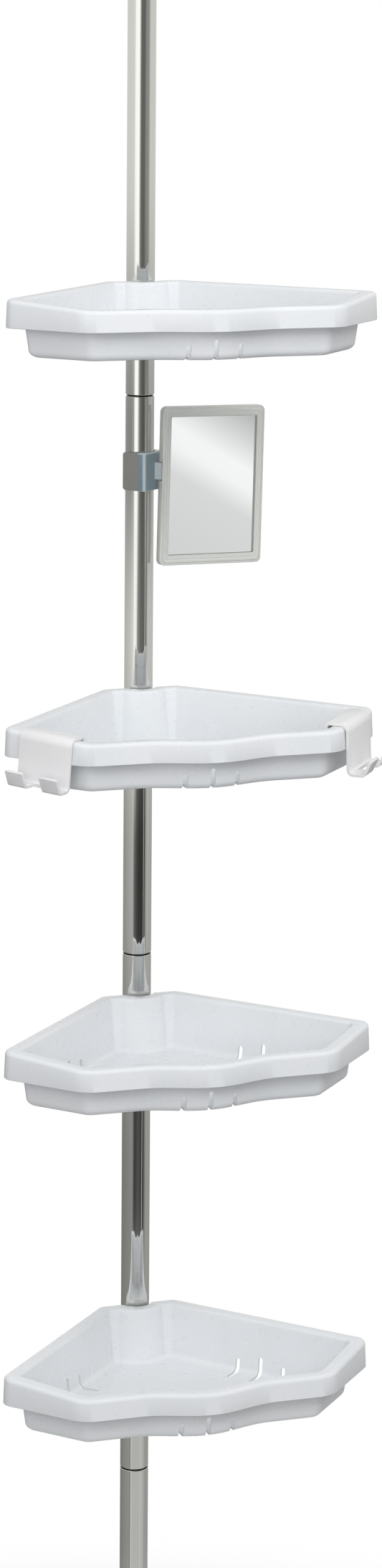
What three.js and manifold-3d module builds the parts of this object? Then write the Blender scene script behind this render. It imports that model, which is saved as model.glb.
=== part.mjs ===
// Tension pole shelf unit: four corner trays, a swinging mirror and two double hooks on a sprung pole.
// Sizes are in millimetres and angles in degrees. +Z is up and the trays face -Y.
// The origin is on the floor, under the axis of the pole.

import * as THREE from 'three';
import { mergeVertices } from 'three/addons/utils/BufferGeometryUtils.js';
import Module from 'manifold-3d';

const wasm = await Module();
wasm.setup();

// Gap between neighbouring pieces, overrun of cuts, and how deep a rib sinks into the wall it joins
const fitGap = 0.3;
const cutOverrun = 2;
const ribSink = 1.1;

// Pole: four plugged lengths of tube
const poleRadius = 12.7;
const poleWall = 1;
const bottomSectionTop = 415.2;
const secondSectionLength = 475.2;
const thirdSectionLength = 502.9;
const topSectionLength = 491.5;
const spigotLength = 55;
const seamBevel = 1.4;

// Feet, the same at the floor and at the ceiling
const gripRadius = 33;
const gripThickness = 5;
const gripRound = 1.2;
const footRadius = 30;
const footPlateThickness = 4;
const footConeHeight = 9;
const footBossWall = 3.6;
const footBossHeight = 32;
const footRound = 1;

// Telescoping end: guide collar, plunger tube, spring and its two plugs
const plungerRadius = 10.4;
const plungerWall = 1;
const plungerShown = 232.6;
const plungerHidden = 120;
const plungerTravel = 30;
const collarWall = 2.2;
const collarSkirtDepth = 16;
const collarTopHeight = 7;
const collarTongueDepth = 14;
const plugHeight = 14;
const plugTongueHeight = 12;
const springWireRadius = 1;
const springRadius = 8.4;
const springLength = 150;

// Trays: outline of the rim's top edge, measured from the pole's axis
const notchGap = 1.3;
const hornReach = 21.2;
const hornRadius = 8.6;
const tipHalfWidth = 168;
const tipDepth = 154;
const tipRadius = 11.2;
const cornerHalfWidth = 111.5;
const frontDepth = 216.8;
const cornerRadius = 29;
const frontSwell = 13.8;
const frontSwellHalfWidth = 61.5;
const innerCornerRadius = 6;
const sharpRadius = 1.5;
const hornFlat = 0.8;

// Trays: section through the rim and the basin
const trayWall = 2.2;
const rimWidth = 13;
const rimRound = 4;
const lipRound = 3;
const skirtDepth = 24.5;
const skirtFlare = 0.8;
const basinDepth = 50;
const basinDraft = 4.4;
const floorRound = 5;
const rimFall = 6;

// Trays: heights of the rims
const bottomTrayHeight = 570;
const lowerTrayRise = 285;
const upperTrayRise = 278.1;
const topTrayRise = 363;

// Drain slots
const slotWidth = 4.2;
const slotSpacing = 23;
const outerSlotDrop = 36.5;
const middleSlotDrop = 32;
const slotFloorRun = 13;

// Socket on the back of each tray, and the grip sleeve that it drops over
const socketDrop = 20;
const socketWall = 3;
const socketRibThickness = 3;
const sleeveDrop = 26;
const sleeveTopWall = 2.2;
const sleeveBottomWall = 3.9;
const sleeveCollarWall = 6.4;
const sleeveCollarDrop = 52;
const sleeveCollarHeight = 4;
const sleeveSplit = 0.8;

// Mirror
const mirrorWidth = 99.8;
const mirrorHeight = 141.6;
const mirrorDepth = 9;
const mirrorCornerRadius = 5;
const mirrorGlassWidth = 86.1;
const mirrorGlassHeight = 124.9;
const mirrorGlassThickness = 3;
const mirrorLip = 0.8;
const mirrorFrontLip = 2.6;
const mirrorDrop = 13.2;
const mirrorStepInset = 2.4;
const mirrorStepDepth = 1.2;

// Mirror's clip on the pole, its arm and its hinge
const clipTurn = 40;
const clipHeight = 34;
const clipHalfWidth = 15;
const clipJawReach = 8.5;
const clipCornerRadius = 3.6;
const linerThickness = 0.7;
const linerInset = 1.2;
const armHeight = 15;
const armThickness = 3;
const armFoot = 1;
const barrelRadius = 2.3;
const barrelFromEdge = 3.4;
const barrelRight = 17.6;
const barrelFront = 16.5;
const pinRadius = 0.8;
const pinHoleGap = 0.45;
const pinGrip = 4.5;
const hingeNotchGap = 0.9;
const hingeNotchWidth = 6;
const hingeNotchSkin = 1.6;
const mirrorLean = 1.3;
const mirrorTurn = 7.5;

// Double hooks
const hookSideRoom = 5.4;
const hookThickness = 2.4;
const hookLipDepth = 12;
const hookLipBend = 4;
const hookTopBend = 8;
const hookPlateDepth = 43;
const hookFloorBend = 5.4;
const hookProngReach = 16;
const hookProngRise = 14.5;
const hookProngLean = 27;
const hookTipRound = 4;
const hookGap = 0.35;

// Shares of a gap or a length
const mirrorHeightShare = 0.5347;
const hookPlaceShare = 0.585;
const hookProngShare = 0.335;
const hornDepthShare = 0.4;
const ribDirections = [-90, -50, -130];
const cornerRoomShare = 0.5;

// Counts
const tubeSides = 24;
const springTurns = 14;
const springSteps = 8;
const springSides = 5;
const arcSteps = 4;
const notchSteps = 7;
const swellSteps = 8;

// Values worked out from the sizes
const poleBore = poleRadius - poleWall;
const notchRadius = poleRadius + notchGap;
const hornHalfWidth = notchRadius + hornReach;
const backDepth = notchRadius * hornDepthShare;
const sectionTops = [
  bottomSectionTop,
  bottomSectionTop + secondSectionLength,
  bottomSectionTop + secondSectionLength + thirdSectionLength,
  bottomSectionTop + secondSectionLength + thirdSectionLength + topSectionLength,
];
const poleTop = sectionTops[3];
const collarTop = poleTop + collarTopHeight;
const plungerTop = collarTop + plungerShown;
const plungerBottom = collarTop - plungerHidden - plungerTravel;
const footSeat = gripThickness + fitGap + footPlateThickness;
const overallHeight = plungerTop + fitGap + footSeat;
const trayHeights = [
  bottomTrayHeight,
  bottomTrayHeight + lowerTrayRise,
  bottomTrayHeight + lowerTrayRise + upperTrayRise,
  bottomTrayHeight + lowerTrayRise + upperTrayRise + topTrayRise,
];
const clipMiddle = trayHeights[2] + topTrayRise * mirrorHeightShare;

const degrees = (angle) => THREE.MathUtils.degToRad(angle);

// Materials
function finish(color, roughness, metalness, opacity = 1) {
  return new THREE.MeshStandardMaterial({ color, roughness, metalness, opacity, transparent: opacity < 1 });
}

const finishes = {
  chrome: finish('#c9cac8', 0.08, 1),
  tray: finish('#e3e8eb', 0.3, 0),
  hook: finish('#e8e8e8', 0.35, 0),
  sleeve: finish('#d9dcdd', 0.45, 0),
  foot: finish('#e6e7e6', 0.4, 0),
  grip: finish('#8f9190', 0.85, 0),
  plug: finish('#c4c6c4', 0.5, 0),
  spring: finish('#8d9093', 0.3, 1),
  clearPlastic: finish('#b9c0c2', 0.15, 0, 0.6),
  clip: finish('#6f8088', 0.25, 0, 0.8),
  mirror: finish('#dfe2e4', 0.03, 1),
  mirrorBack: finish('#b4b7b8', 0.4, 0),
};

// Solids for joining and cutting
function toSolid(geometry) {
  const bare = geometry.clone();
  bare.deleteAttribute('normal');
  bare.deleteAttribute('uv');
  const merged = mergeVertices(bare);
  return new wasm.Manifold(new wasm.Mesh({
    numProp: 3,
    vertProperties: new Float32Array(merged.attributes.position.array),
    triVerts: new Uint32Array(merged.index.array),
  }));
}

function fromSolid(solid) {
  const mesh = solid.getMesh();
  const geometry = new THREE.BufferGeometry();
  geometry.setAttribute('position', new THREE.BufferAttribute(new Float32Array(mesh.vertProperties), 3));
  geometry.setIndex(new THREE.BufferAttribute(new Uint32Array(mesh.triVerts), 1));
  return geometry;
}

function cut(geometry, cutters) {
  return fromSolid(cutters.reduce((solid, cutter) => solid.subtract(toSolid(cutter)), toSolid(geometry)));
}

function join(geometries) {
  return fromSolid(geometries.map(toSolid).reduce((solid, extra) => solid.add(extra)));
}

// Volume inside a mesh, negative when its faces point inwards
function signedVolume(positions, index) {
  const corners = index.map((i) => new THREE.Vector3().fromArray(positions, 3 * i));
  let total = 0;
  for (let i = 0; i < corners.length; i += 3) {
    total += corners[i].dot(corners[i + 1].clone().cross(corners[i + 2])) / 6;
  }
  return total;
}

function closedBody(positions, index) {
  if (signedVolume(positions, index) < 0) {
    index.reverse();
  }
  const geometry = new THREE.BufferGeometry();
  geometry.setAttribute('position', new THREE.Float32BufferAttribute(positions, 3));
  geometry.setIndex(index);
  return geometry;
}

// Skin over rings of equal point counts that run anticlockwise, with a cap on the first ring and on the last
function loft(rings) {
  const count = rings[0].length;
  const positions = rings.flat().flatMap((point) => point.toArray());
  const index = [];
  for (let ring = 0; ring + 1 < rings.length; ring += 1) {
    for (let i = 0; i < count; i += 1) {
      const a = ring * count + i;
      const b = ring * count + (i + 1) % count;
      index.push(a, b, b + count, a, b + count, a + count);
    }
  }
  const last = (rings.length - 1) * count;
  for (const [first, start] of [[true, 0], [false, last]]) {
    const flat = rings[start / count].map((point) => new THREE.Vector2(point.x, point.y));
    for (const [a, b, c] of THREE.ShapeUtils.triangulateShape(flat, [])) {
      index.push(...(first ? [start + a, start + c, start + b] : [start + a, start + b, start + c]));
    }
  }
  return closedBody(positions, index);
}

// Turned body about Z from a closed profile of [radius, height] pairs
function turned(profile, sides = tubeSides) {
  const points = [...profile, profile[0]].map(([radius, height]) => new THREE.Vector2(radius, height));
  const geometry = new THREE.LatheGeometry(points, sides).rotateX(degrees(90));
  const merged = mergeVertices(stripped(geometry));
  return closedBody([...merged.attributes.position.array], solidFaces(merged));
}

function stripped(geometry) {
  const bare = geometry.clone();
  bare.deleteAttribute('normal');
  bare.deleteAttribute('uv');
  return bare;
}

// Faces with three different corners: a profile that touches the axis also gives empty ones there
function solidFaces(geometry) {
  const faces = [];
  const index = geometry.index.array;
  for (let i = 0; i < index.length; i += 3) {
    const [a, b, c] = [index[i], index[i + 1], index[i + 2]];
    if (a !== b && b !== c && c !== a) {
      faces.push(a, b, c);
    }
  }
  return faces;
}

// Prism with an outline in X and Y, from bottom to top
function prism(outline, bottom, top) {
  const shape = new THREE.Shape(outline.map(([x, y]) => new THREE.Vector2(x, y)));
  return new THREE.ExtrudeGeometry(shape, { depth: top - bottom, bevelEnabled: false }).translate(0, 0, bottom);
}

function block(left, right, front, back, bottom, top) {
  return new THREE.BoxGeometry(right - left, back - front, top - bottom)
    .translate((left + right) / 2, (front + back) / 2, (bottom + top) / 2);
}

// Points of an arc about a centre, both ends included
function arc(x, y, radius, from, to, steps) {
  return Array.from({ length: steps + 1 }, (_, i) => {
    const angle = degrees(from + (to - from) * i / steps);
    return [x + radius * Math.cos(angle), y + radius * Math.sin(angle)];
  });
}

function roundedRectangle(width, height, radius) {
  const x = width / 2 - radius;
  const y = height / 2 - radius;
  return [
    ...arc(x, y, radius, 0, 90, arcSteps),
    ...arc(-x, y, radius, 90, 180, arcSteps),
    ...arc(-x, -y, radius, 180, 270, arcSteps),
    ...arc(x, -y, radius, 270, 360, arcSteps),
  ];
}

// Rounded corner at b between the lines from a and to c
function roundCorner(a, b, c, wanted, steps) {
  const toA = new THREE.Vector2().subVectors(a, b);
  const toC = new THREE.Vector2().subVectors(c, b);
  const half = Math.acos(toA.dot(toC) / (toA.length() * toC.length())) / 2;
  const room = Math.min(toA.length(), toC.length()) * cornerRoomShare;
  const radius = Math.min(wanted, room * Math.tan(half));
  const middle = toA.clone().normalize().add(toC.clone().normalize()).normalize();
  const centre = b.clone().addScaledVector(middle, radius / Math.sin(half));
  const start = b.clone().addScaledVector(toA.normalize(), radius / Math.tan(half)).sub(centre);
  const turn = (Math.PI - 2 * half) * Math.sign(start.clone().cross(middle.clone().negate()));
  return Array.from({ length: steps + 1 }, (_, i) =>
    start.clone().rotateAround(new THREE.Vector2(), turn * i / steps).add(centre));
}

// Where the line through a and b, moved inwards, meets the like line through c and d
function meet(a, b, c, d) {
  const ab = new THREE.Vector2().subVectors(b, a);
  const cd = new THREE.Vector2().subVectors(d, c);
  const along = new THREE.Vector2().subVectors(c, a).cross(cd) / ab.cross(cd);
  return a.clone().addScaledVector(ab, along);
}

function movedLine(a, b, inset) {
  const inward = new THREE.Vector2(b.y - a.y, a.x - b.x).normalize().multiplyScalar(inset);
  return [a.clone().add(inward), b.clone().add(inward)];
}

// Where the notch's circle and the line of the wall side cross, or null where they don't
function notchMeetsWall(radius, [a, b]) {
  const direction = new THREE.Vector2().subVectors(b, a).normalize();
  const nearest = a.clone().addScaledVector(direction, -a.dot(direction));
  const reach = radius * radius - nearest.lengthSq();
  return reach > 0 ? nearest.addScaledVector(direction, Math.sqrt(reach)) : null;
}

// Depth of the front edge at x: straight, with a smooth swell in the middle
function frontEdge(x, inset) {
  const swell = Math.abs(x) < frontSwellHalfWidth ? (1 + Math.cos(Math.PI * x / frontSwellHalfWidth)) / 2 : 0;
  return inset - frontDepth - frontSwell * swell;
}

// Right half of the tray's outline at an inset from the rim's edge, from the notch to the front swell
function trayHalfOutline(inset) {
  const horn = new THREE.Vector2(hornHalfWidth, -backDepth);
  const tip = new THREE.Vector2(tipHalfWidth, -tipDepth);
  const corner = new THREE.Vector2(cornerHalfWidth, -frontDepth);
  const wall = movedLine(horn, tip, inset);
  const end = movedLine(tip, corner, inset);
  const front = movedLine(corner, new THREE.Vector2(0, -frontDepth), inset);
  const notch = notchRadius + inset;
  const crossing = notchMeetsWall(notch, wall);
  const level = Math.min(-backDepth - inset, crossing ? crossing.y - hornFlat : 0);
  const notchEnd = new THREE.Vector2(Math.sqrt(notch * notch - level * level), level);
  const back = [notchEnd, new THREE.Vector2(tipHalfWidth, level)];
  const hornPoint = meet(...back, ...wall);
  const tipPoint = meet(...wall, ...end);
  const cornerPoint = meet(...end, ...front);
  const frontPoint = new THREE.Vector2(frontSwellHalfWidth, cornerPoint.y);
  const hornRound = Math.max(hornRadius - inset, sharpRadius);
  const tipRound = Math.max(tipRadius - inset, innerCornerRadius);
  const cornerRound = Math.max(cornerRadius - inset, innerCornerRadius);
  const hornArc = roundCorner(notchEnd, hornPoint, tipPoint, hornRound, arcSteps / 2);
  const tipArc = roundCorner(hornPoint, tipPoint, cornerPoint, tipRound, arcSteps);
  const cornerArc = roundCorner(tipPoint, cornerPoint, frontPoint, cornerRound, arcSteps);
  return {
    notch,
    notchEnd,
    points: [...hornArc, ...tipArc, ...cornerArc],
    endLine: [tipArc[arcSteps], cornerArc[0]],
  };
}

// Whole outline of the tray at an inset, anticlockwise
function trayOutline(inset) {
  const { notch, points, notchEnd } = trayHalfOutline(inset);
  const reach = THREE.MathUtils.radToDeg(Math.atan2(notchEnd.x, -notchEnd.y));
  const notchArc = arc(0, 0, notch, -90 - reach, -90 + reach, notchSteps);
  const swell = Array.from({ length: swellSteps + 1 }, (_, i) => {
    const x = frontSwellHalfWidth * (1 - 2 * i / swellSteps);
    return [x, frontEdge(x, inset)];
  });
  const right = points.map((point) => [point.x, point.y]);
  const left = points.map((point) => [-point.x, point.y]).reverse();
  return [...notchArc, ...right, ...swell, ...left].reverse();
}

// Share of the rim's fall at a point of the tray's edge: none back to the tips, all of it along the front
function fallShare(edgeY) {
  return THREE.MathUtils.clamp((-edgeY - tipDepth) / (frontDepth - tipDepth), 0, 1);
}

// Ring of the tray's skin: what is above the skirt's lower edge falls with the rim
function trayRing([inset, height]) {
  const edge = trayOutline(0);
  return trayOutline(inset).map(([x, y], i) => {
    const fall = height > -skirtDepth ? rimFall * fallShare(edge[i][1]) : 0;
    return new THREE.Vector3(x, y, height - fall);
  });
}

// Section through the rim and the basin as [inset, height] pairs, from the basin's floor over the rim
// and the skirt to the underside of the floor
function traySection() {
  const floorInset = rimWidth + basinDraft + floorRound;
  const floorLevel = trayWall - basinDepth;
  return [
    ...arc(floorInset, floorLevel + floorRound, floorRound, 270, 180, 2),
    ...arc(rimWidth - lipRound, -lipRound, lipRound, 0, 90, 2),
    ...arc(rimRound, -rimRound, rimRound, 90, 180, 2),
    [-skirtFlare, -skirtDepth],
    [trayWall - skirtFlare, -skirtDepth],
    ...arc(rimRound, -rimRound, rimRound - trayWall, 180, 90, 1),
    ...arc(rimWidth - lipRound, -lipRound, lipRound - trayWall, 90, 0, 1),
    ...arc(floorInset, floorLevel + floorRound, floorRound + trayWall, 180, 270, 2),
  ];
}

// Radius of the sleeve's tapered outside at a depth under the rim
function sleeveRadius(drop) {
  const share = (drop - sleeveDrop) / (sleeveCollarDrop - sleeveDrop);
  return poleRadius + fitGap + THREE.MathUtils.lerp(sleeveTopWall, sleeveBottomWall, share);
}

// Tapered socket behind the basin, with the ribs that join it to the basin's back wall
function traySocket() {
  const topBore = sleeveRadius(socketDrop) + fitGap;
  const bottomBore = sleeveRadius(basinDepth) + fitGap;
  const ring = turned([
    [topBore, -socketDrop],
    [topBore + socketWall, -socketDrop],
    [bottomBore + socketWall, -basinDepth],
    [bottomBore, -basinDepth],
  ]);
  const wallTop = notchRadius + rimWidth - trayWall + ribSink;
  const wallBottom = wallTop + basinDraft;
  const bottom = floorRound + trayWall - basinDepth;
  const start = bottomBore + ribSink;
  const side = [[start, bottom], [wallBottom, bottom], [wallTop, -socketDrop], [start, -socketDrop]];
  const half = socketRibThickness / 2;
  const ribs = ribDirections.map((direction) =>
    prism(side, -half, half).rotateX(degrees(90)).rotateZ(degrees(direction)));
  return [ring, ...ribs];
}

// Cutter for one drain slot: through the wall from outside and along the floor inwards, towards +X
function slotCutter(drop) {
  const outside = -rimWidth - basinDraft;
  const inside = floorRound + slotFloorRun;
  return block(outside, inside, -slotWidth / 2, slotWidth / 2, -basinDepth - cutOverrun, -drop);
}

// Three slots side by side, at a point of the basin's wall and facing along a direction
function slotGroup(place, facing) {
  return [-1, 0, 1].map((step) => {
    const slot = slotCutter(step === 0 ? middleSlotDrop : outerSlotDrop);
    return slot.translate(0, step * slotSpacing, 0).rotateZ(facing).translate(place.x, place.y, 0);
  });
}

function drainSlots() {
  const inset = rimWidth + basinDraft;
  const horn = new THREE.Vector2(hornHalfWidth, -backDepth);
  const tip = new THREE.Vector2(tipHalfWidth, -tipDepth);
  const [a, b] = movedLine(horn, tip, inset);
  const middle = a.clone().lerp(b, 0.5);
  const inward = new THREE.Vector2(b.y - a.y, a.x - b.x).angle();
  return [
    ...slotGroup(new THREE.Vector2(0, frontEdge(0, inset)), degrees(90)),
    ...slotGroup(middle, inward),
    ...slotGroup(new THREE.Vector2(-middle.x, middle.y), Math.PI - inward),
  ];
}

// One moulded tray, with its rim's top at z = 0
function trayGeometry() {
  const shell = loft(traySection().map(trayRing));
  return cut(join([shell, ...traySocket()]), drainSlots());
}

// Half of the split sleeve that grips the pole inside the tray's socket
function sleeveGeometry(side) {
  const bore = poleRadius + fitGap;
  const whole = turned([
    [bore, -sleeveDrop],
    [sleeveRadius(sleeveDrop), -sleeveDrop],
    [sleeveRadius(basinDepth), -basinDepth],
    [sleeveRadius(basinDepth), -sleeveCollarDrop],
    [bore + sleeveCollarWall, -sleeveCollarDrop],
    [bore + sleeveCollarWall, -sleeveCollarDrop - sleeveCollarHeight],
    [bore, -sleeveCollarDrop - sleeveCollarHeight],
  ]);
  const reach = bore + sleeveCollarWall + cutOverrun;
  const bottom = -sleeveCollarDrop - sleeveCollarHeight - cutOverrun;
  const half = block(-reach, sleeveSplit / 2, -reach, reach, bottom, cutOverrun - sleeveDrop);
  return cut(whole, [side > 0 ? half : half.rotateZ(degrees(180))]);
}

// Length of tube with a spigot at its lower end, or plain where it stands in the foot
function poleSectionGeometry(bottom, top, spigot) {
  if (!spigot) {
    return turned([[poleBore, bottom], [poleBore, top], [poleRadius, top], [poleRadius, bottom]]);
  }
  const outside = poleBore - fitGap;
  const shoulder = bottom + 2 * seamBevel;
  return turned([
    [poleBore, shoulder + poleWall],
    [poleBore, top],
    [poleRadius, top],
    [poleRadius, shoulder],
    [outside, bottom + seamBevel],
    [outside, bottom - spigotLength],
    [outside - poleWall, bottom - spigotLength],
    [outside - poleWall, bottom + seamBevel],
  ]);
}

// Foot with a plate, a cone and a boss that holds a tube's end, standing at z = 0
function footGeometry(tubeRadius) {
  const boss = tubeRadius + fitGap + footBossWall;
  const coneTop = footPlateThickness + footConeHeight;
  return turned([
    [0, 0],
    [footRadius - footRound, 0],
    [footRadius, footRound],
    [footRadius, footPlateThickness - footRound],
    [footRadius - footRound, footPlateThickness],
    [boss + footRound, coneTop - footRound],
    [boss, coneTop + footRound],
    [boss, footBossHeight - footRound],
    [boss - footRound, footBossHeight],
    [tubeRadius + fitGap, footBossHeight],
    [tubeRadius + fitGap, footPlateThickness],
    [0, footPlateThickness],
  ]);
}

// Rubber disc under a foot, standing at z = 0
function gripGeometry() {
  return turned([
    [0, 0],
    [gripRadius - gripRound, 0],
    [gripRadius, gripRound],
    [gripRadius, gripThickness - gripRound],
    [gripRadius - gripRound, gripThickness],
    [0, gripThickness],
  ]);
}

// Bush on the top length's end: an outer skirt, a rounded top and a tongue in the tube's bore
function guideCollarGeometry() {
  const bore = plungerRadius + fitGap;
  const outside = poleRadius + fitGap + collarWall;
  const tongue = poleBore - fitGap;
  return turned([
    [bore, collarTop],
    [outside - collarWall, collarTop],
    [outside, collarTop - collarWall],
    [outside, poleTop - collarSkirtDepth],
    [poleRadius + fitGap, poleTop - collarSkirtDepth],
    [poleRadius + fitGap, poleTop + fitGap],
    [tongue, poleTop + fitGap],
    [tongue, poleTop - collarTongueDepth],
    [bore, poleTop - collarTongueDepth],
  ]);
}

function plungerTubeGeometry() {
  const bore = plungerRadius - plungerWall;
  return turned([
    [bore, plungerTop],
    [plungerRadius, plungerTop],
    [plungerRadius, plungerBottom],
    [bore, plungerBottom],
  ]);
}

// Plug in the top length's bore, standing at z = 0, with a tongue on top for a tube or a spring
function plugGeometry(tongueRadius) {
  const outside = poleBore - fitGap;
  return turned([[0, 0], [outside, 0], [outside, plugHeight], [tongueRadius, plugHeight],
    [tongueRadius, plugHeight + plugTongueHeight], [0, plugHeight + plugTongueHeight]]);
}

// Coil spring about Z as one unbroken wire, from z = 0 to its length
function springGeometry() {
  const rise = springLength - 2 * springWireRadius;
  const steps = springTurns * springSteps;
  const positions = [];
  for (let step = 0; step <= steps; step += 1) {
    const turn = 2 * Math.PI * step / springSteps;
    const outward = new THREE.Vector3(Math.cos(turn), Math.sin(turn), 0);
    const height = springWireRadius + rise * step / steps;
    const centre = outward.clone().multiplyScalar(springRadius).setZ(height);
    for (let side = 0; side < springSides; side += 1) {
      const angle = 2 * Math.PI * side / springSides;
      const point = centre.clone().addScaledVector(outward, springWireRadius * Math.cos(angle));
      positions.push(...point.setZ(point.z + springWireRadius * Math.sin(angle)).toArray());
    }
  }
  const index = [];
  for (let step = 0; step < steps; step += 1) {
    for (let side = 0; side < springSides; side += 1) {
      const a = step * springSides + side;
      const b = step * springSides + (side + 1) % springSides;
      index.push(a, b, b + springSides, a, b + springSides, a + springSides);
    }
  }
  const last = steps * springSides;
  for (let side = 1; side + 1 < springSides; side += 1) {
    index.push(0, side + 1, side, last, last + side, last + side + 1);
  }
  return closedBody(positions, index);
}

// Least gap between two neighbouring turns of the spring, measured on the wire's points
function springSelfGap(geometry) {
  const points = geometry.attributes.position;
  const turn = springSteps * springSides;
  let least = Infinity;
  for (let i = 0; i + turn < points.count; i += 1) {
    const here = new THREE.Vector3().fromBufferAttribute(points, i);
    for (let side = 0; side < springSides; side += 1) {
      const j = Math.floor((i + turn) / springSides) * springSides + side;
      if (j < points.count) {
        least = Math.min(least, here.distanceTo(new THREE.Vector3().fromBufferAttribute(points, j)));
      }
    }
  }
  return least;
}

// Turns an upright prism so that its outline stands in Y and Z and its length lies along X
function alongX(geometry) {
  return geometry.rotateX(degrees(90)).rotateZ(degrees(90));
}

// C-shaped outline about the pole, open towards +Y, between two radii
function openRing(inner, outer, mouth) {
  const innerReach = THREE.MathUtils.radToDeg(Math.asin(mouth / inner));
  const outerReach = THREE.MathUtils.radToDeg(Math.asin(mouth / outer));
  const steps = tubeSides;
  return [...arc(0, 0, outer, 180 - outerReach, 360 + outerReach, steps),
    ...arc(0, 0, inner, 360 + innerReach, 180 - innerReach, steps)];
}

// Block that snaps on the pole, in its own directions: the arm's face looks to -Y and the mouth to +Y
function mirrorClipGeometry() {
  const corners = [[-1, -1], [1, -1]].map(([x, y]) => arc(
    x * (clipHalfWidth - clipCornerRadius), y * (clipHalfWidth - clipCornerRadius), clipCornerRadius,
    x < 0 ? 180 : 270, x < 0 ? 270 : 360, arcSteps));
  const outline = [...corners.flat(), [clipHalfWidth, clipJawReach], [-clipHalfWidth, clipJawReach]];
  const body = toSolid(prism(outline, -clipHeight / 2, clipHeight / 2)).intersect(toSolid(clipSide()));
  const bore = poleRadius + fitGap + linerThickness + fitGap;
  const hole = turned([[0, -clipHeight], [bore, -clipHeight], [bore, clipHeight], [0, clipHeight]]);
  const withArm = body.subtract(toSolid(hole)).add(toSolid(armGeometry()));
  return fromSolid(withArm.subtract(toSolid(barrelBore())));
}

// Side view of the clip, with round corners at the mouth, as a prism across the whole clip
function clipSide() {
  const far = clipHalfWidth + cutOverrun;
  const y = clipJawReach - clipCornerRadius;
  const z = clipHeight / 2 - clipCornerRadius;
  const outline = [
    [-far, -clipHeight / 2],
    ...arc(y, -z, clipCornerRadius, 270, 360, arcSteps),
    ...arc(y, z, clipCornerRadius, 0, 90, arcSteps),
    [-far, clipHeight / 2],
  ];
  return alongX(prism(outline, -far, far));
}

// Place of the hinge barrel in the clip's own directions
function barrelPlace() {
  return new THREE.Vector2(barrelRight, -barrelFront).rotateAround(new THREE.Vector2(), degrees(-clipTurn));
}

// Upright round bar about a point, from a bottom to a top
function bar(x, y, radius, bottom, top) {
  return prism(arc(x, y, radius, 0, 360 - 360 / tubeSides, tubeSides - 1), bottom, top);
}

// Arm from the clip's face to the hinge barrel, with the barrel
function armGeometry() {
  const { x, y } = barrelPlace();
  const half = armHeight / 2;
  const side = armThickness / 2;
  const arm = block(x - side, x + side, y, armFoot - clipHalfWidth, -half, half);
  return join([arm, bar(x, y, barrelRadius, -half, half)]);
}

function barrelBore() {
  const { x, y } = barrelPlace();
  return bar(x, y, pinRadius + pinHoleGap, -armHeight, armHeight);
}

function linerGeometry() {
  const inner = poleRadius + fitGap;
  const half = clipHeight / 2 - linerInset;
  const mouth = clipJawReach - linerInset;
  return prism(openRing(inner, inner + linerThickness, mouth), -half, half);
}

// Mirror pieces, in the mirror's own directions: X right, Y back, Z up, with the hinge's axis at the origin
const mirrorMiddle = { x: mirrorWidth / 2 - barrelFromEdge, z: -mirrorDrop };
const mirrorFront = -mirrorDepth / 2;

// Upright panel with round corners in X and Z, about the mirror's middle, from a front to a back
function panel(width, height, radius, front, back) {
  const upright = prism(roundedRectangle(width, height, radius), -back, -front).rotateX(degrees(90));
  const merged = mergeVertices(stripped(upright.translate(mirrorMiddle.x, 0, mirrorMiddle.z)));
  return closedBody([...merged.attributes.position.array], [...merged.index.array]);
}

function mirrorFrameGeometry() {
  const stepWidth = mirrorWidth - 2 * mirrorStepInset;
  const stepHeight = mirrorHeight - 2 * mirrorStepInset;
  const stepRadius = mirrorCornerRadius - mirrorStepInset / 2;
  const windowWidth = mirrorGlassWidth - 2 * mirrorLip;
  const windowHeight = mirrorGlassHeight - 2 * mirrorLip;
  const recessWidth = mirrorGlassWidth + 2 * fitGap;
  const recessHeight = mirrorGlassHeight + 2 * fitGap;
  const back = cutOverrun - mirrorFront;
  const stepBack = mirrorFront + mirrorStepDepth;
  const outer = panel(mirrorWidth, mirrorHeight, mirrorCornerRadius, stepBack, -mirrorFront);
  const step = panel(stepWidth, stepHeight, stepRadius, mirrorFront, 0);
  const window = panel(windowWidth, windowHeight, mirrorLip, mirrorFront - cutOverrun, back);
  const recess = panel(recessWidth, recessHeight, mirrorLip, mirrorFront + mirrorFrontLip, back);
  const left = -barrelFromEdge - cutOverrun;
  const right = hingeNotchWidth - barrelFromEdge;
  const half = armHeight / 2 + hingeNotchGap;
  const notch = block(left, right, mirrorFront + hingeNotchSkin, back, -half, half);
  const pinHole = bar(0, 0, pinRadius + fitGap, -half - pinGrip - fitGap, half + pinGrip + fitGap);
  return cut(join([outer, step]), [window, recess, notch, pinHole]);
}

function mirrorGlassGeometry() {
  const front = mirrorFront + mirrorFrontLip + fitGap;
  return panel(mirrorGlassWidth, mirrorGlassHeight, mirrorLip, front, front + mirrorGlassThickness);
}

function mirrorBackGeometry() {
  const front = mirrorFront + mirrorFrontLip + mirrorGlassThickness + 2 * fitGap;
  return panel(mirrorGlassWidth, mirrorGlassHeight, mirrorLip, front, -mirrorFront - fitGap);
}

function pinGeometry() {
  const half = armHeight / 2 + hingeNotchGap + pinGrip;
  return turned([[0, -half], [pinRadius, -half], [pinRadius, half], [0, half]], springSteps);
}

// Outline of a bent strip of even thickness about a path of [x, y] pairs
function stripOutline(path, thickness) {
  const points = path.map(([x, y]) => new THREE.Vector2(x, y));
  const along = points.slice(1).map((point, i) => point.clone().sub(points[i]).normalize());
  const offsets = points.map((_, i) => {
    const before = along[Math.max(i - 1, 0)];
    const after = along[Math.min(i, along.length - 1)];
    const middle = before.clone().add(after).normalize();
    const reach = thickness / 2 / middle.dot(before);
    return new THREE.Vector2(-middle.y, middle.x).multiplyScalar(reach);
  });
  const above = points.map((point, i) => point.clone().add(offsets[i]));
  const below = points.map((point, i) => point.clone().sub(offsets[i]));
  return [...above, ...below.reverse()].map((point) => point.toArray());
}

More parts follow.
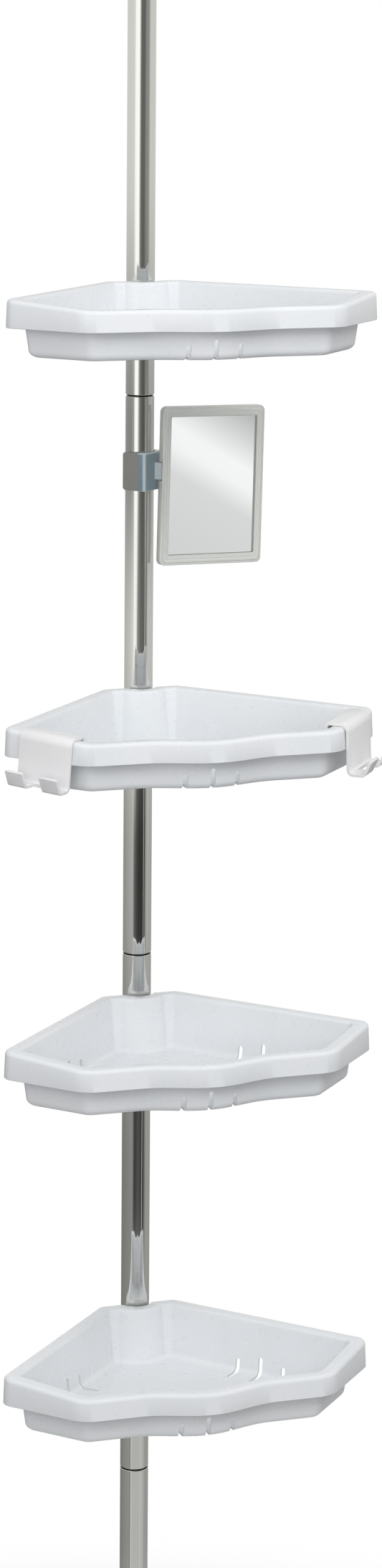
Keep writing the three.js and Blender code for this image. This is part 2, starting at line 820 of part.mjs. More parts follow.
// Path of the middle of a hook's strip as [outwards, up] pairs, from the lip in the basin over the rim, down
// the plate and out to the tip of a prong, with the rim's outer edge and its top at 0
function hookPath() {
  const half = hookThickness / 2;
  const lip = -rimWidth - basinDraft * hookLipDepth / basinDepth - lipRound / 2 - hookGap - half;
  const lipBend = hookLipBend - half;
  const top = hookGap + half;
  const plate = skirtFlare + hookGap + half;
  const topBend = hookTopBend - half;
  const floorBend = hookFloorBend - half;
  const floor = half - hookPlateDepth;
  const end = plate + hookProngReach - floorBend;
  const prong = arc(end, floor + floorBend, floorBend, 270, 360 - hookProngLean, arcSteps);
  const [x, y] = prong[arcSteps];
  const tip = hookProngRise - hookPlateDepth;
  return [
    [lip, -hookLipDepth],
    ...arc(lip + lipBend, top - lipBend, lipBend, 180, 90, arcSteps / 2),
    ...arc(plate - topBend, top - topBend, topBend, 90, 0, arcSteps),
    ...arc(plate + floorBend, floor + floorBend, floorBend, 180, 270, arcSteps),
    ...prong,
    [x + (tip - y) * Math.tan(degrees(hookProngLean)), tip],
  ];
}

// Straight part of the tray's right end side, which a hook hangs on: its ends near the tip and near the front
function hookLine() {
  return trayHalfOutline(0).endLine;
}

// Double hook: a bent strip, outwards along +X and its width along Y, cut beyond its plate into two prongs
function hookGeometry() {
  const [start, finish] = hookLine();
  const width = start.distanceTo(finish) - 2 * hookSideRoom;
  const prongWidth = width * hookProngShare;
  const outline = stripOutline(hookPath(), hookThickness);
  const strip = prism(outline, -width / 2, width / 2).rotateX(degrees(90));
  const root = skirtFlare + hookGap + hookThickness;
  const far = root + hookProngReach + hookProngRise;
  const top = hookProngRise - hookPlateDepth + hookThickness / 2 * Math.sin(degrees(hookProngLean));
  const side = width / 2 + cutOverrun;
  const waste = toSolid(block(root, far, -side, side, -hookPlateDepth - cutOverrun, top + cutOverrun));
  const prongs = [-1, 1].map((way) => {
    const face = roundedRectangle(prongWidth, 2 * hookProngRise, hookTipRound);
    const prong = alongX(prism(face, root - cutOverrun, far + cutOverrun));
    return toSolid(prong.translate(0, way * (width - prongWidth) / 2, top - hookProngRise));
  });
  return fromSolid(toSolid(strip).subtract(waste.subtract(prongs[0]).subtract(prongs[1])));
}

// Place of a hook on the tray's end side, the way that it looks and the slope of the rim along it
function endSide(side) {
  const across = tipHalfWidth - cornerHalfWidth;
  const forwards = frontDepth - tipDepth;
  const outward = new THREE.Vector2(forwards, -across).angle();
  const [start, finish] = hookLine();
  const { x, y } = start.clone().lerp(finish, hookPlaceShare);
  return {
    x: side * x,
    y,
    turn: side > 0 ? outward : Math.PI - outward,
    slope: side * Math.atan(rimFall / Math.hypot(across, forwards)),
  };
}

function named(name, geometry, material) {
  const mesh = new THREE.Mesh(geometry, material);
  mesh.name = name;
  return mesh;
}

function at(object, x, y, z) {
  object.position.set(x, y, z);
  return object;
}

function buildPole() {
  const group = new THREE.Group();
  const bottoms = [footSeat + fitGap, ...sectionTops.slice(0, 3)];
  bottoms.forEach((bottom, i) => {
    const geometry = poleSectionGeometry(i === 0 ? bottom : bottom + fitGap, sectionTops[i], i > 0);
    group.add(named(`pole_section_${i + 1}`, geometry, finishes.chrome));
  });
  group.add(named('guide_collar', guideCollarGeometry(), finishes.foot));
  group.add(named('floor_foot_grip', gripGeometry(), finishes.grip));
  const foot = named('floor_foot', footGeometry(poleRadius), finishes.foot);
  group.add(at(foot, 0, 0, gripThickness + fitGap));
  return group;
}

function buildTelescope() {
  const group = new THREE.Group();
  const plunger = named('plunger_tube', plungerTubeGeometry(), finishes.chrome);
  const plugTongue = plungerRadius - plungerWall - fitGap;
  const plugBottom = plungerBottom - fitGap - plugHeight;
  const plug = at(named('plunger_plug', plugGeometry(plugTongue), finishes.plug), 0, 0, plugBottom);
  const springBottom = plugBottom - fitGap - springLength;
  const spring = springGeometry();
  console.log(`spring: least gap between its turns ${springSelfGap(spring).toFixed(2)} mm`);
  const seatTongue = springRadius - springWireRadius - 2 * fitGap;
  const seat = named('spring_seat', plugGeometry(seatTongue), finishes.plug);
  const ceilingFoot = named('ceiling_foot', footGeometry(plungerRadius), finishes.foot);
  ceilingFoot.rotation.x = Math.PI;
  const ceilingGrip = named('ceiling_foot_grip', gripGeometry(), finishes.grip);
  group.add(plunger, plug, at(named('tension_spring', spring, finishes.spring), 0, 0, springBottom));
  group.add(at(seat, 0, 0, springBottom - fitGap - plugHeight));
  group.add(at(ceilingFoot, 0, 0, overallHeight - gripThickness - fitGap));
  group.add(at(ceilingGrip, 0, 0, overallHeight - gripThickness));
  return group;
}

function buildTrays() {
  const group = new THREE.Group();
  ['bottom_tray', 'lower_tray', 'upper_tray', 'top_tray'].forEach((name, i) => {
    const level = at(new THREE.Group(), 0, 0, trayHeights[i]);
    level.add(named(name, trayGeometry(), finishes.tray));
    level.add(named(`${name}_sleeve_left`, sleeveGeometry(-1), finishes.sleeve));
    level.add(named(`${name}_sleeve_right`, sleeveGeometry(1), finishes.sleeve));
    group.add(level);
  });
  return group;
}

function buildHooks() {
  const group = new THREE.Group();
  [['left_hook', -1], ['right_hook', 1]].forEach(([name, side]) => {
    const { x, y, turn, slope } = endSide(side);
    const geometry = hookGeometry().rotateX(slope);
    const hook = at(named(name, geometry, finishes.hook), x, y, trayHeights[2] - rimFall * fallShare(y));
    hook.rotation.z = turn;
    group.add(hook);
  });
  return group;
}

function buildMirror() {
  const group = at(new THREE.Group(), 0, 0, clipMiddle);
  const clip = new THREE.Group();
  clip.rotation.z = degrees(clipTurn);
  clip.add(named('mirror_clip', mirrorClipGeometry(), finishes.clip));
  clip.add(named('mirror_clip_liner', linerGeometry(), finishes.plug));
  const mirror = at(new THREE.Group(), barrelRight, -barrelFront, 0);
  mirror.rotation.set(0, degrees(mirrorLean), degrees(mirrorTurn));
  mirror.add(named('mirror_frame', mirrorFrameGeometry(), finishes.clearPlastic));
  mirror.add(named('mirror_glass', mirrorGlassGeometry(), finishes.mirror));
  mirror.add(named('mirror_back', mirrorBackGeometry(), finishes.mirrorBack));
  mirror.add(named('mirror_pivot_pin', pinGeometry(), finishes.spring));
  group.add(clip, mirror);
  return group;
}

const unit = new THREE.Group();
unit.add(buildPole(), buildTelescope(), buildTrays(), buildHooks(), buildMirror());

export default unit;
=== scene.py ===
"""Tension pole shelf unit: four corner trays, a swinging mirror and two double hooks on a sprung pole.

The classes hold their sizes in millimetres, as fields, unless a comment says otherwise. A mesh is made in
metres, at its place in the CAD frame.
"""

import logging  # noqa: E402
import math  # noqa: E402
from dataclasses import dataclass  # noqa: E402
from enum import Enum  # noqa: E402

import bpy  # noqa: E402
from mathutils import Matrix, Vector  # noqa: E402


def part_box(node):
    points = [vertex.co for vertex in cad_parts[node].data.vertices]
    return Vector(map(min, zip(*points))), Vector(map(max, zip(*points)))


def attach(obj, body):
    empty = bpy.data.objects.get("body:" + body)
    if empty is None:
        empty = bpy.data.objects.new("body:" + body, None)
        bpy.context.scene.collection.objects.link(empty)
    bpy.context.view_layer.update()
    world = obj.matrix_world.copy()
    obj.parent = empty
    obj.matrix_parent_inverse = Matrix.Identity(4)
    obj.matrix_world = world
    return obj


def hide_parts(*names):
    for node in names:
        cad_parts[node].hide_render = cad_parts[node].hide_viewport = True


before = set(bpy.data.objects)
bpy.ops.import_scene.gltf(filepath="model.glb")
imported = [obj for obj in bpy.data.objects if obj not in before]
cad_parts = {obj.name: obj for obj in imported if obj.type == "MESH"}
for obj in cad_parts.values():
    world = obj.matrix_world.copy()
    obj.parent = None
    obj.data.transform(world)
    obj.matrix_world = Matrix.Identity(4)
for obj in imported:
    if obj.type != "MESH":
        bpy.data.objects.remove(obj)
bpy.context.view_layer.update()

log = logging.getLogger("shelf_unit")

Piece = bpy.types.Object
Socket = bpy.types.NodeSocket
Pair = tuple[float, float]
Triple = tuple[float, float, float]

MM = 0.001
FIT = 0.3
POLE_RADIUS = 12.7
PLUNGER_RADIUS = 10.4
TUBE_WALL = 1.0
HINGE = (17.6, -16.5)
ARM_HEIGHT = 15.0
# How far a cutter reaches past what it cuts
PAST = 2.0
# Points that lie nearer to each other are merged
MERGE = 0.005
# Usual range of a noise value
NOISE_RANGE = (0.3, 0.7)
# Cosine between the plain and the rounded normal, away from an edge and at it
EDGE_COSINES = (0.99, 0.8)


class Side(Enum):
    """Which side of the unit a piece is on, with the sign of its X."""

    LEFT = -1
    RIGHT = 1


class Slot(Enum):
    """The record's material slots."""

    CHROME = "chrome"
    TRAY = "tray_plastic"
    HOOK = "hook_plastic"
    SLEEVE = "sleeve_plastic"
    FOOT = "foot_plastic"
    RUBBER = "foot_rubber"
    PLUG = "plug_plastic"
    LINER = "liner_rubber"
    STEEL = "steel_wire"
    FRAME = "frame_plastic"
    CLIP = "clip_plastic"
    MIRROR = "mirror"
    COVER = "cover_plastic"


# Places and turns


def top_of(node: str) -> float:
    """Height of a CAD node's highest point, in millimetres."""
    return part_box(node)[1][2] / MM


def bottom_of(node: str) -> float:
    """Height of a CAD node's lowest point, in millimetres."""
    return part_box(node)[0][2] / MM


def middle_of(node: str) -> float:
    """Height of a CAD node's middle, in millimetres."""
    return (top_of(node) + bottom_of(node)) / 2


def at(x: float = 0.0, y: float = 0.0, z: float = 0.0) -> Matrix:
    """Move to a place."""
    return Matrix.Translation((x, y, z))


def turned(degrees: float, axis: str) -> Matrix:
    """Turn in degrees about an axis."""
    return Matrix.Rotation(math.radians(degrees), 4, axis)


# Stands an extruded outline up: its X runs along Y, its Y upwards and its height along X
STAND = turned(90, "Z") @ turned(90, "X")


# Outlines


def arc(x: float, y: float, radius: float, start: float, end: float, steps: int) -> list[Pair]:
    """Points of an arc.

    Args:
        x: Centre, first coordinate.
        y: Centre, second coordinate.
        radius: Radius of the arc.
        start: Angle of the first point, in degrees.
        end: Angle of the last point, in degrees.
        steps: Number of chords.

    Returns:
        The points, both ends included.
    """
    angles = [math.radians(start + (end - start) * i / steps) for i in range(steps + 1)]
    return [(x + radius * math.cos(a), y + radius * math.sin(a)) for a in angles]


def circle(x: float, y: float, radius: float, count: int) -> list[Pair]:
    """Closed circle with a number of points."""
    return arc(x, y, radius, 0, 360 - 360 / count, count - 1)


def corner_arc(a: Vector, b: Vector, c: Vector, wanted: float, steps: int) -> list[Pair]:
    """Rounds the corner at b between the lines to a and to c.

    Args:
        a: Point before the corner.
        b: The corner.
        c: Point after the corner.
        wanted: Radius, made smaller where the lines are too short.
        steps: Number of chords.

    Returns:
        The points of the arc, both ends included.
    """
    to_a, to_c = a - b, c - b
    half = to_a.angle(to_c) / 2
    room = min(to_a.length, to_c.length) / 2
    radius = min(wanted, room * math.tan(half))
    centre = b + (to_a.normalized() + to_c.normalized()).normalized() * (radius / math.sin(half))
    start = b + to_a.normalized() * (radius / math.tan(half)) - centre
    end = b + to_c.normalized() * (radius / math.tan(half)) - centre
    first = math.degrees(math.atan2(start.y, start.x))
    turn = math.degrees(math.atan2(start.x * end.y - start.y * end.x, start.dot(end)))
    return arc(centre.x, centre.y, radius, first, first + turn, steps)


def rounded(corners: list[Triple], steps: int = 4) -> list[Pair]:
    """Closed outline with round corners.

    Args:
        corners: The corners as x, y and radius, where 0 keeps a corner sharp.
        steps: Chords at each round corner.

    Returns:
        The outline's points.
    """
    points = [Vector(corner[:2]) for corner in corners]
    outline: list[Pair] = []
    for i, (x, y, radius) in enumerate(corners):
        before, after = points[i - 1], points[(i + 1) % len(points)]
        outline += corner_arc(before, points[i], after, radius, steps) if radius > 0 else [(x, y)]
    return outline


def rounded_rectangle(width: float, height: float, radius: float, steps: int = 8) -> list[Pair]:
    """Rectangle about the origin with round corners, anticlockwise."""
    x, y = width / 2 - radius, height / 2 - radius
    places = [(x, y, 0), (-x, y, 90), (-x, -y, 180), (x, -y, 270)]
    return [point for cx, cy, a in places for point in arc(cx, cy, radius, a, a + 90, steps)]


def strip_outline(path: list[Pair], thickness: float) -> list[tuple[Vector, Vector]]:
    """Both edges of a bent strip of even thickness.

    Args:
        path: Points along the middle of the strip.
        thickness: Thickness of the strip.

    Returns:
        For each point, the points on the one and the other face.
    """
    points = [Vector(point) for point in path]
    along = [(b - a).normalized() for a, b in zip(points, points[1:])]
    edges = []
    for i, point in enumerate(points):
        before, after = along[max(i - 1, 0)], along[min(i, len(along) - 1)]
        middle = (before + after).normalized()
        offset = Vector((-middle.y, middle.x)) * (thickness / 2 / middle.dot(before))
        edges.append((point + offset, point - offset))
    return edges


# Modelling


def deselect() -> None:
    """Leaves edit mode, with no object selected."""
    if bpy.context.object is not None and bpy.context.object.mode != "OBJECT":
        bpy.ops.object.mode_set(mode="OBJECT")
    bpy.ops.object.select_all(action="DESELECT")


def pick(piece: Piece) -> None:
    """Makes one object the only selected one, and the active one."""
    deselect()
    piece.select_set(True)
    bpy.context.view_layer.objects.active = piece


def edit(piece: Piece) -> None:
    """Opens a piece's mesh in edit mode, with all of it selected."""
    pick(piece)
    bpy.ops.object.mode_set(mode="EDIT")
    bpy.ops.mesh.select_all(action="SELECT")


def healed(piece: Piece) -> Piece:
    """Merges doubles, drops loose edges, turns all faces outwards and leaves edit mode."""
    edit(piece)
    bpy.ops.mesh.remove_doubles(threshold=MERGE * MM)
    bpy.ops.mesh.delete_loose(use_verts=True, use_edges=True, use_faces=False)
    bpy.ops.mesh.select_all(action="SELECT")
    bpy.ops.mesh.normals_make_consistent(inside=False)
    bpy.ops.object.mode_set(mode="OBJECT")
    return piece


def ring_piece(name: str, points: list[Triple], fill: str) -> Piece:
    """New piece of one ring of points in millimetres, filled or not, open in edit mode."""
    deselect()
    bpy.ops.mesh.primitive_circle_add(vertices=len(points), radius=MM, fill_type=fill)
    piece = bpy.context.object
    piece.name = piece.data.name = name
    for vertex, point in zip(piece.data.vertices, points):
        vertex.co = [value * MM for value in point]
    edit(piece)
    return piece


def spun(name: str, profile: list[Pair], steps: int = 96) -> Piece:
    """Turned piece about the Z axis, from a closed outline as radius and height."""
    piece = ring_piece(name, [(radius, 0, height) for radius, height in profile], "NOTHING")
    bpy.ops.mesh.spin(steps=steps, angle=math.tau, center=(0, 0, 0), axis=(0, 0, 1))
    return healed(piece)


def extruded(name: str, outline: list[Pair], low: float, high: float) -> Piece:
    """Upright prism: a filled outline in X and Y, extruded from a low to a high level."""
    piece = ring_piece(name, [(x, y, low) for x, y in outline], "NGON")
    bpy.ops.mesh.extrude_region_move(TRANSFORM_OT_translate={"value": (0, 0, (high - low) * MM)})
    return healed(piece)


def skin(name: str, rings: list[list[Vector]], closed: bool = False) -> Piece:
    """Skin over rings of equal point counts, for freely curved forms that no primitive comes near.

    Args:
        name: Name of the piece.
        rings: The rings, in millimetres.
        closed: Whether the last ring joins the first. Otherwise both ends get a cap.

    Returns:
        The new piece.
    """
    count = len(rings[0])
    faces = []
    for ring in range(len(rings) if closed else len(rings) - 1):
        low, high = ring * count, (ring + 1) % len(rings) * count
        for i in range(count):
            j = (i + 1) % count
            faces.append((low + i, low + j, high + j, high + i))
    if not closed:
        faces.append(tuple(reversed(range(count))))
        faces.append(tuple(range((len(rings) - 1) * count, len(rings) * count)))
    mesh = bpy.data.meshes.new(name)
    mesh.from_pydata([point * MM for ring in rings for point in ring], [], faces)
    piece = bpy.data.objects.new(name, mesh)
    bpy.context.scene.collection.objects.link(piece)
    return healed(piece)


def put(piece: Piece, matrix: Matrix) -> Piece:
    """Turns and moves a piece's mesh, the move given in millimetres."""
    scaled = matrix.copy()
    scaled.translation *= MM
    piece.data.transform(scaled)
    piece.data.update()
    return piece


def copied(piece: Piece, name: str, matrix: Matrix) -> Piece:
    """Copy of a piece with a mesh of its own, turned and moved."""
    twin = piece.copy()
    twin.data = piece.data.copy()
    twin.name = twin.data.name = name
    bpy.context.scene.collection.objects.link(twin)
    return put(twin, matrix)


def modify(piece: Piece, kind: str, **settings: object) -> None:
    """Gives a piece a modifier with its settings, and applies it."""
    modifier = piece.modifiers.new("step", kind)
    for key, value in settings.items():
        setattr(modifier, key, value)
    pick(piece)
    bpy.ops.object.modifier_apply(modifier=modifier.name)


def combine(piece: Piece, tools: list[Piece], operation: str) -> None:
    """Changes a piece by others, which are removed.

    Args:
        piece: The piece that is changed.
        tools: The pieces that are joined on or cut away.
        operation: UNION, DIFFERENCE or INTERSECT.
    """
    for tool in tools:
        modify(piece, "BOOLEAN", operation=operation, solver="EXACT", object=tool)
        bpy.data.objects.remove(tool)


def soften(piece: Piece, width: float, segments: int, angle: float) -> None:
    """Rounds edges that are sharper than an angle in degrees with an applied bevel."""
    modify(piece, "BEVEL", width=width * MM, segments=segments, limit_method="ANGLE",
           angle_limit=math.radians(angle))


def shade(piece: Piece, angle: float = 32) -> None:
    """Shades smooth, with edges sharper than an angle in degrees kept crisp."""
    pick(piece)
    bpy.ops.object.shade_smooth_by_angle(angle=math.radians(angle))


# Materials


def srgb(code: str) -> tuple[float, float, float, float]:
    """Linear colour of an sRGB hex code such as #c0c0c0."""
    parts = [int(code[i : i + 2], 16) / 255 for i in (1, 3, 5)]
    linear = [p / 12.92 if p <= 0.04045 else ((p + 0.055) / 1.055) ** 2.4 for p in parts]
    return (*linear, 1.0)


class Nodes:
    """A node tree, with short ways to add what the finishes and the world are made of."""

    def __init__(self, tree: bpy.types.NodeTree) -> None:
        """Empties a tree to build in."""
        self.tree = tree
        tree.nodes.clear()

    def add(self, kind: str, settings: dict, inputs: dict) -> bpy.types.Node:
        """Adds a node.

        Args:
            kind: Blender's name of the node type, without the word Shader in front.
            settings: The node's own properties.
            inputs: Values for its sockets by name or number, or an output socket to link to one.

        Returns:
            The new node.
        """
        node = self.tree.nodes.new(f"Shader{kind}")
        for key, value in settings.items():
            setattr(node, key, value)
        for key, value in inputs.items():
            if isinstance(value, Socket):
                self.tree.links.new(value, node.inputs[key])
            else:
                node.inputs[key].default_value = value
        return node

    def places(self, kind: str) -> Socket:
        """Coordinates of a kind."""
        return self.add("NodeTexCoord", {}, {}).outputs[kind]

    def number(self, operation: str, *values: Socket | float) -> Socket:
        """Result of an operation on numbers."""
        return self.add("NodeMath", {"operation": operation}, dict(enumerate(values))).outputs[0]

    def measure(self, operation: str, *vectors: Socket | Triple) -> Socket:
        """Number that an operation on vectors gives."""
        return self.add("NodeVectorMath", {"operation": operation}, dict(enumerate(vectors))).outputs["Value"]

    def share(self, value: Socket, low: float, high: float, smooth: bool = False,
              to: Pair = (0, 1)) -> Socket:
        """Maps what lies between two values to 0 to 1, or to another range, and holds it beyond them."""
        kind = "SMOOTHSTEP" if smooth else "LINEAR"
        inputs = {"Value": value, "From Min": low, "From Max": high, "To Min": to[0], "To Max": to[1]}
        return self.add("NodeMapRange", {"interpolation_type": kind}, inputs).outputs[0]

    def noise(self, place: Socket, size: float, detail: float = 2.0) -> Socket:
        """Noise value whose lumps are about a size in millimetres."""
        inputs = {"Vector": place, "Scale": 1 / (size * MM), "Detail": detail}
        return self.add("NodeTexNoise", {}, inputs).outputs[0]

    def varied(self, noise: Socket, value: float, low: float, high: float) -> Socket:
        """Value times a factor from low to high, over a noise value's usual range."""
        return self.share(noise, *NOISE_RANGE, to=(value * low, value * high))

    def bump(self, height: Socket, strength: float, reach: float) -> Socket:
        """Normal with bumps that reach a height in millimetres."""
        inputs = {"Strength": strength, "Distance": reach * MM, "Height": height}
        return self.add("NodeBump", {}, inputs).outputs[0]

    def edge_share(self, radius: float) -> Socket:
        """How near a point is to an edge, from 0 to 1, found by rounding the edges by a radius."""
        bevel = self.add("NodeBevel", {"samples": 4}, {"Radius": radius * MM}).outputs[0]
        plain = self.add("NodeNewGeometry", {}, {}).outputs["Normal"]
        return self.share(self.measure("DOT_PRODUCT", bevel, plain), *EDGE_COSINES)

    def mixed(self, share: Socket, first: object, second: object) -> Socket:
        """Colour between two colours."""
        return self.add("NodeMix", {"data_type": "RGBA"}, {0: share, 6: first, 7: second}).outputs[2]

    def greys(self, value: Socket, stops: list[Pair], blue: float = 1.0) -> Socket:
        """Colour ramp from stops of position and brightness, with a share of blue for a warm tone."""
        node = self.add("NodeValToRGB", {}, {0: value})
        elements = node.color_ramp.elements
        while len(elements) < len(stops):
            elements.new(0.5)
        for element, (position, level) in zip(elements, stops):
            element.position = position
            element.color = (level, level, level * blue, 1.0)
        return node.outputs[0]

    def principled(self, inputs: dict) -> Socket:
        """Surface shader."""
        return self.add("NodeBsdfPrincipled", {}, inputs).outputs[0]

    def background(self, colour: object, strength: Socket | float = 1.0) -> Socket:
        """Shader of the surroundings."""
        return self.add("NodeBackground", {}, {"Color": colour, "Strength": strength}).outputs[0]

    def mixed_shader(self, share: Socket, first: Socket, second: Socket) -> Socket:
        """Shader between two shaders."""
        return self.add("NodeMixShader", {}, {0: share, 1: first, 2: second}).outputs[0]


@dataclass(frozen=True)
class Finish:
    """A finish. Each kind says how its surface is made."""

    name: str
    colour: str

    def surface(self, nodes: Nodes, place: Socket) -> Socket:
        """Shader of the finish at a place in the object."""
        raise NotImplementedError

    def make(self) -> bpy.types.Material:
        """Builds the material."""
        material = bpy.data.materials.new(self.name)
        material.use_nodes = True
        nodes = Nodes(material.node_tree)
        nodes.add("NodeOutputMaterial", {}, {"Surface": self.surface(nodes, nodes.places("Object"))})
        return material


@dataclass(frozen=True)
class MouldedPlastic(Finish):
    """Injection-moulded opaque plastic: an even colour, a soft gloss and a faint skin from the mould."""

    shade: str
    roughness: float
    grain: float = 0.5
    grain_height: float = 0.004
    grain_strength: float = 0.6
    flow: float = 70.0
    wear: float = 9.0
    glow: float = 0.0
    glow_reach: float = 1.2
    coat: float = 0.0
    coat_roughness: float = 0.12
    ior: float = 1.53

    def surface(self, nodes: Nodes, place: Socket) -> Socket:
        """Shader of the finish at a place in the object."""
        flow = nodes.varied(nodes.noise(place, self.flow, 1.0), 1, 0, 1)
        wear = nodes.noise(place, self.wear, 3.0)
        grain = nodes.noise(place, self.grain, 1.0)
        return nodes.principled({
            "Base Color": nodes.mixed(flow, srgb(self.colour), srgb(self.shade)),
            "Roughness": nodes.varied(wear, self.roughness, 0.85, 1.15),
            "IOR": self.ior,
            "Subsurface Weight": self.glow,
            "Subsurface Radius": (1.0, 1.0, 1.0),
            "Subsurface Scale": self.glow_reach * MM,
            "Coat Weight": self.coat,
            "Coat Roughness": self.coat_roughness,
            "Normal": nodes.bump(grain, self.grain_strength, self.grain_height),
        })


@dataclass(frozen=True)
class ClearPlastic(Finish):
    """Polished clear moulding (SAN): one looks through it, and its edges gather light and dark lines; the
    light lines are painted highlights, a paler colour near each edge.
    """

    # Paler colour near each edge: a painted highlight
    edge: str
    roughness: float
    clearness: float
    ior: float = 1.49
    flow: float = 12.0
    edge_radius: float = 1.0
    wave_height: float = 0.01
    wave_strength: float = 0.1

    def surface(self, nodes: Nodes, place: Socket) -> Socket:
        """Shader of the finish at a place in the object."""
        flow = nodes.noise(place, self.flow)
        return nodes.principled({
            # Painted highlight: near each edge the colour turns to the paler edge colour
            "Base Color": nodes.mixed(nodes.edge_share(self.edge_radius), srgb(self.colour), srgb(self.edge)),
            "Roughness": nodes.varied(flow, self.roughness, 0.8, 1.2),
            "IOR": self.ior,
            "Transmission Weight": self.clearness,
            "Normal": nodes.bump(flow, self.wave_strength, self.wave_height),
        })


@dataclass(frozen=True)
class Beyond:
    """All that lies farther along a direction than a reach in millimetres."""

    way: Triple
    reach: float

    def share(self, nodes: Nodes, place: Socket, blur: float) -> Socket:
        """Share that is 1 beyond the reach and 0 nearer, with a blur between them."""
        along = nodes.measure("DOT_PRODUCT", place, self.way)
        return nodes.share(along, (self.reach - blur) * MM, (self.reach + blur) * MM, smooth=True)


@dataclass(frozen=True)
class SmokyClip(Finish):
    """Smoky clear moulding with painted light: an opaque grey cheek that stands in for the duller reflection
    on that side, paler edges, front corner and borders that are painted highlights, and an arm painted paler
    against its shade.
    """

    # Paler colour near each edge, and in the pale parts: painted highlights
    edge: str
    # Opaque grey of the cheek: painted reflection, the duller look of that side
    cheek: str
    cheek_part: Beyond
    painted_light_parts: tuple[Beyond, ...]
    roughness: float
    clearness: float
    cheek_roughness: Pair = (0.42, 0.55)
    cheek_blur: float = 0.5
    painted_light_blur: float = 0.3
    ior: float = 1.49
    flow: float = 8.0
    edge_radius: float = 1.1

    def surface(self, nodes: Nodes, place: Socket) -> Socket:
        """Shader of the finish at a place in the object."""
        flow = nodes.noise(place, self.flow)
        # Painted highlights: paler near the edges and in the listed parts
        pale = nodes.edge_share(self.edge_radius)
        for part in self.painted_light_parts:
            pale = nodes.number("MAXIMUM", pale, part.share(nodes, place, self.painted_light_blur))
        clear = nodes.principled({
            "Base Color": nodes.mixed(pale, srgb(self.colour), srgb(self.edge)),
            "Roughness": nodes.varied(flow, self.roughness, 0.8, 1.2),
            "IOR": self.ior,
            "Transmission Weight": self.clearness,
        })
        grey = nodes.principled({
            "Base Color": srgb(self.cheek),
            "Roughness": nodes.varied(flow, 1, *self.cheek_roughness),
            "IOR": self.ior,
        })
        # Painted reflection: over the cheek part the clear shader gives way to an opaque grey
        return nodes.mixed_shader(self.cheek_part.share(nodes, place, self.cheek_blur), clear, grey)


@dataclass(frozen=True)
class BrightMetal(Finish):
    """Plated or drawn metal: mirror-like, with fine marks along the draw that catch the light.

    Between two radii about the pole, at the necks and seams of the tubes, the colour turns dark: painted
    shade for the dark line at each seam.
    """

    roughness: float
    marks: float = 0.25
    mark_height: float = 0.002
    mark_strength: float = 0.25
    mark_stretch: float = 0.03
    cloud: float = 35.0
    # Radii about the pole between which the colour is painted dark, as shade in the seams, and that dark
    # colour
    seam_shade: Pair = (0.0, 0.0)
    seam_shade_colour: str = "#4a4a48"

    def surface(self, nodes: Nodes, place: Socket) -> Socket:
        """Shader of the finish at a place in the object."""
        stretched = nodes.add("NodeMapping", {}, {"Vector": place, "Scale": (1.0, 1.0, self.mark_stretch)})
        marks = nodes.noise(stretched.outputs[0], self.marks)
        flat = nodes.add("NodeVectorMath", {"operation": "MULTIPLY"}, {0: place, 1: (1, 1, 0)})
        radius = nodes.measure("LENGTH", flat.outputs[0])
        # Painted shade: between the two radii, in the seams of the tubes, the colour turns dark
        low, high = (limit * MM for limit in self.seam_shade)
        beyond, within = nodes.number("GREATER_THAN", radius, low), nodes.number("LESS_THAN", radius, high)
        seam_shade = nodes.number("MULTIPLY", beyond, within)
        return nodes.principled({
            "Base Color": nodes.mixed(seam_shade, srgb(self.colour), srgb(self.seam_shade_colour)),
            "Metallic": 1.0,
            "Roughness": nodes.varied(nodes.noise(place, self.cloud), self.roughness, 0.7, 1.4),
            "Normal": nodes.bump(marks, self.mark_strength, self.mark_height),
        })


@dataclass(frozen=True)
class SilveredGlass(Finish):
    """Float glass with silver behind it: a clean reflection, slightly grey-green, under a polished face."""

    roughness: float
    haze: float = 25.0
    face: float = 0.3
    face_roughness: float = 0.01

    def surface(self, nodes: Nodes, place: Socket) -> Socket:
        """Shader of the finish at a place in the object."""
        return nodes.principled({
            "Base Color": srgb(self.colour),
            "Metallic": 1.0,
            "Roughness": nodes.varied(nodes.noise(place, self.haze), self.roughness, 0.6, 1.4),
            "Coat Weight": self.face,
            "Coat Roughness": self.face_roughness,
        })


@dataclass(frozen=True)
class FadingFloor(Finish):
    """Matt floor that fades into the surroundings between two distances from the origin."""

    near: float
    far: float

    def surface(self, nodes: Nodes, place: Socket) -> Socket:
        """Shader of the finish at a place in the object."""
        fade = nodes.share(nodes.measure("LENGTH", place), self.near * MM, self.far * MM, smooth=True)
        pale = nodes.add("NodeBsdfDiffuse", {}, {"Color": srgb(self.colour)}).outputs[0]
        return nodes.mixed_shader(fade, pale, nodes.add("NodeBsdfTransparent", {}, {}).outputs[0])


def clip_finish() -> SmokyClip:
    """Finish of the mirror's clip, painted paler in its arm, its front corner and its upper and lower border:
    painted highlights, and in the arm painted light against its shade.
    """
    border = 1.3
    # Painted light: the arm, the front corner and both borders are painted paler, and the cheek is painted
    # grey for its duller reflection
    arm = Beyond((0.643, -0.766, 0.0), 15.2)
    front_corner = Beyond((-0.0872, -0.9962, 0.0), 19.45)
    upper = Beyond((0.0, 0.0, 1.0), top_of("mirror_clip") - border)
    lower = Beyond((0.0, 0.0, -1.0), border - bottom_of("mirror_clip"))
    cheek = Beyond((-0.643, 0.766, 0.0), -8.0)
    return SmokyClip("smoky_clear_clip", "#8ba0a8", "#dfe8ea", "#8b8a86", cheek,
                     (arm, front_corner, upper, lower), 0.15, 0.25)


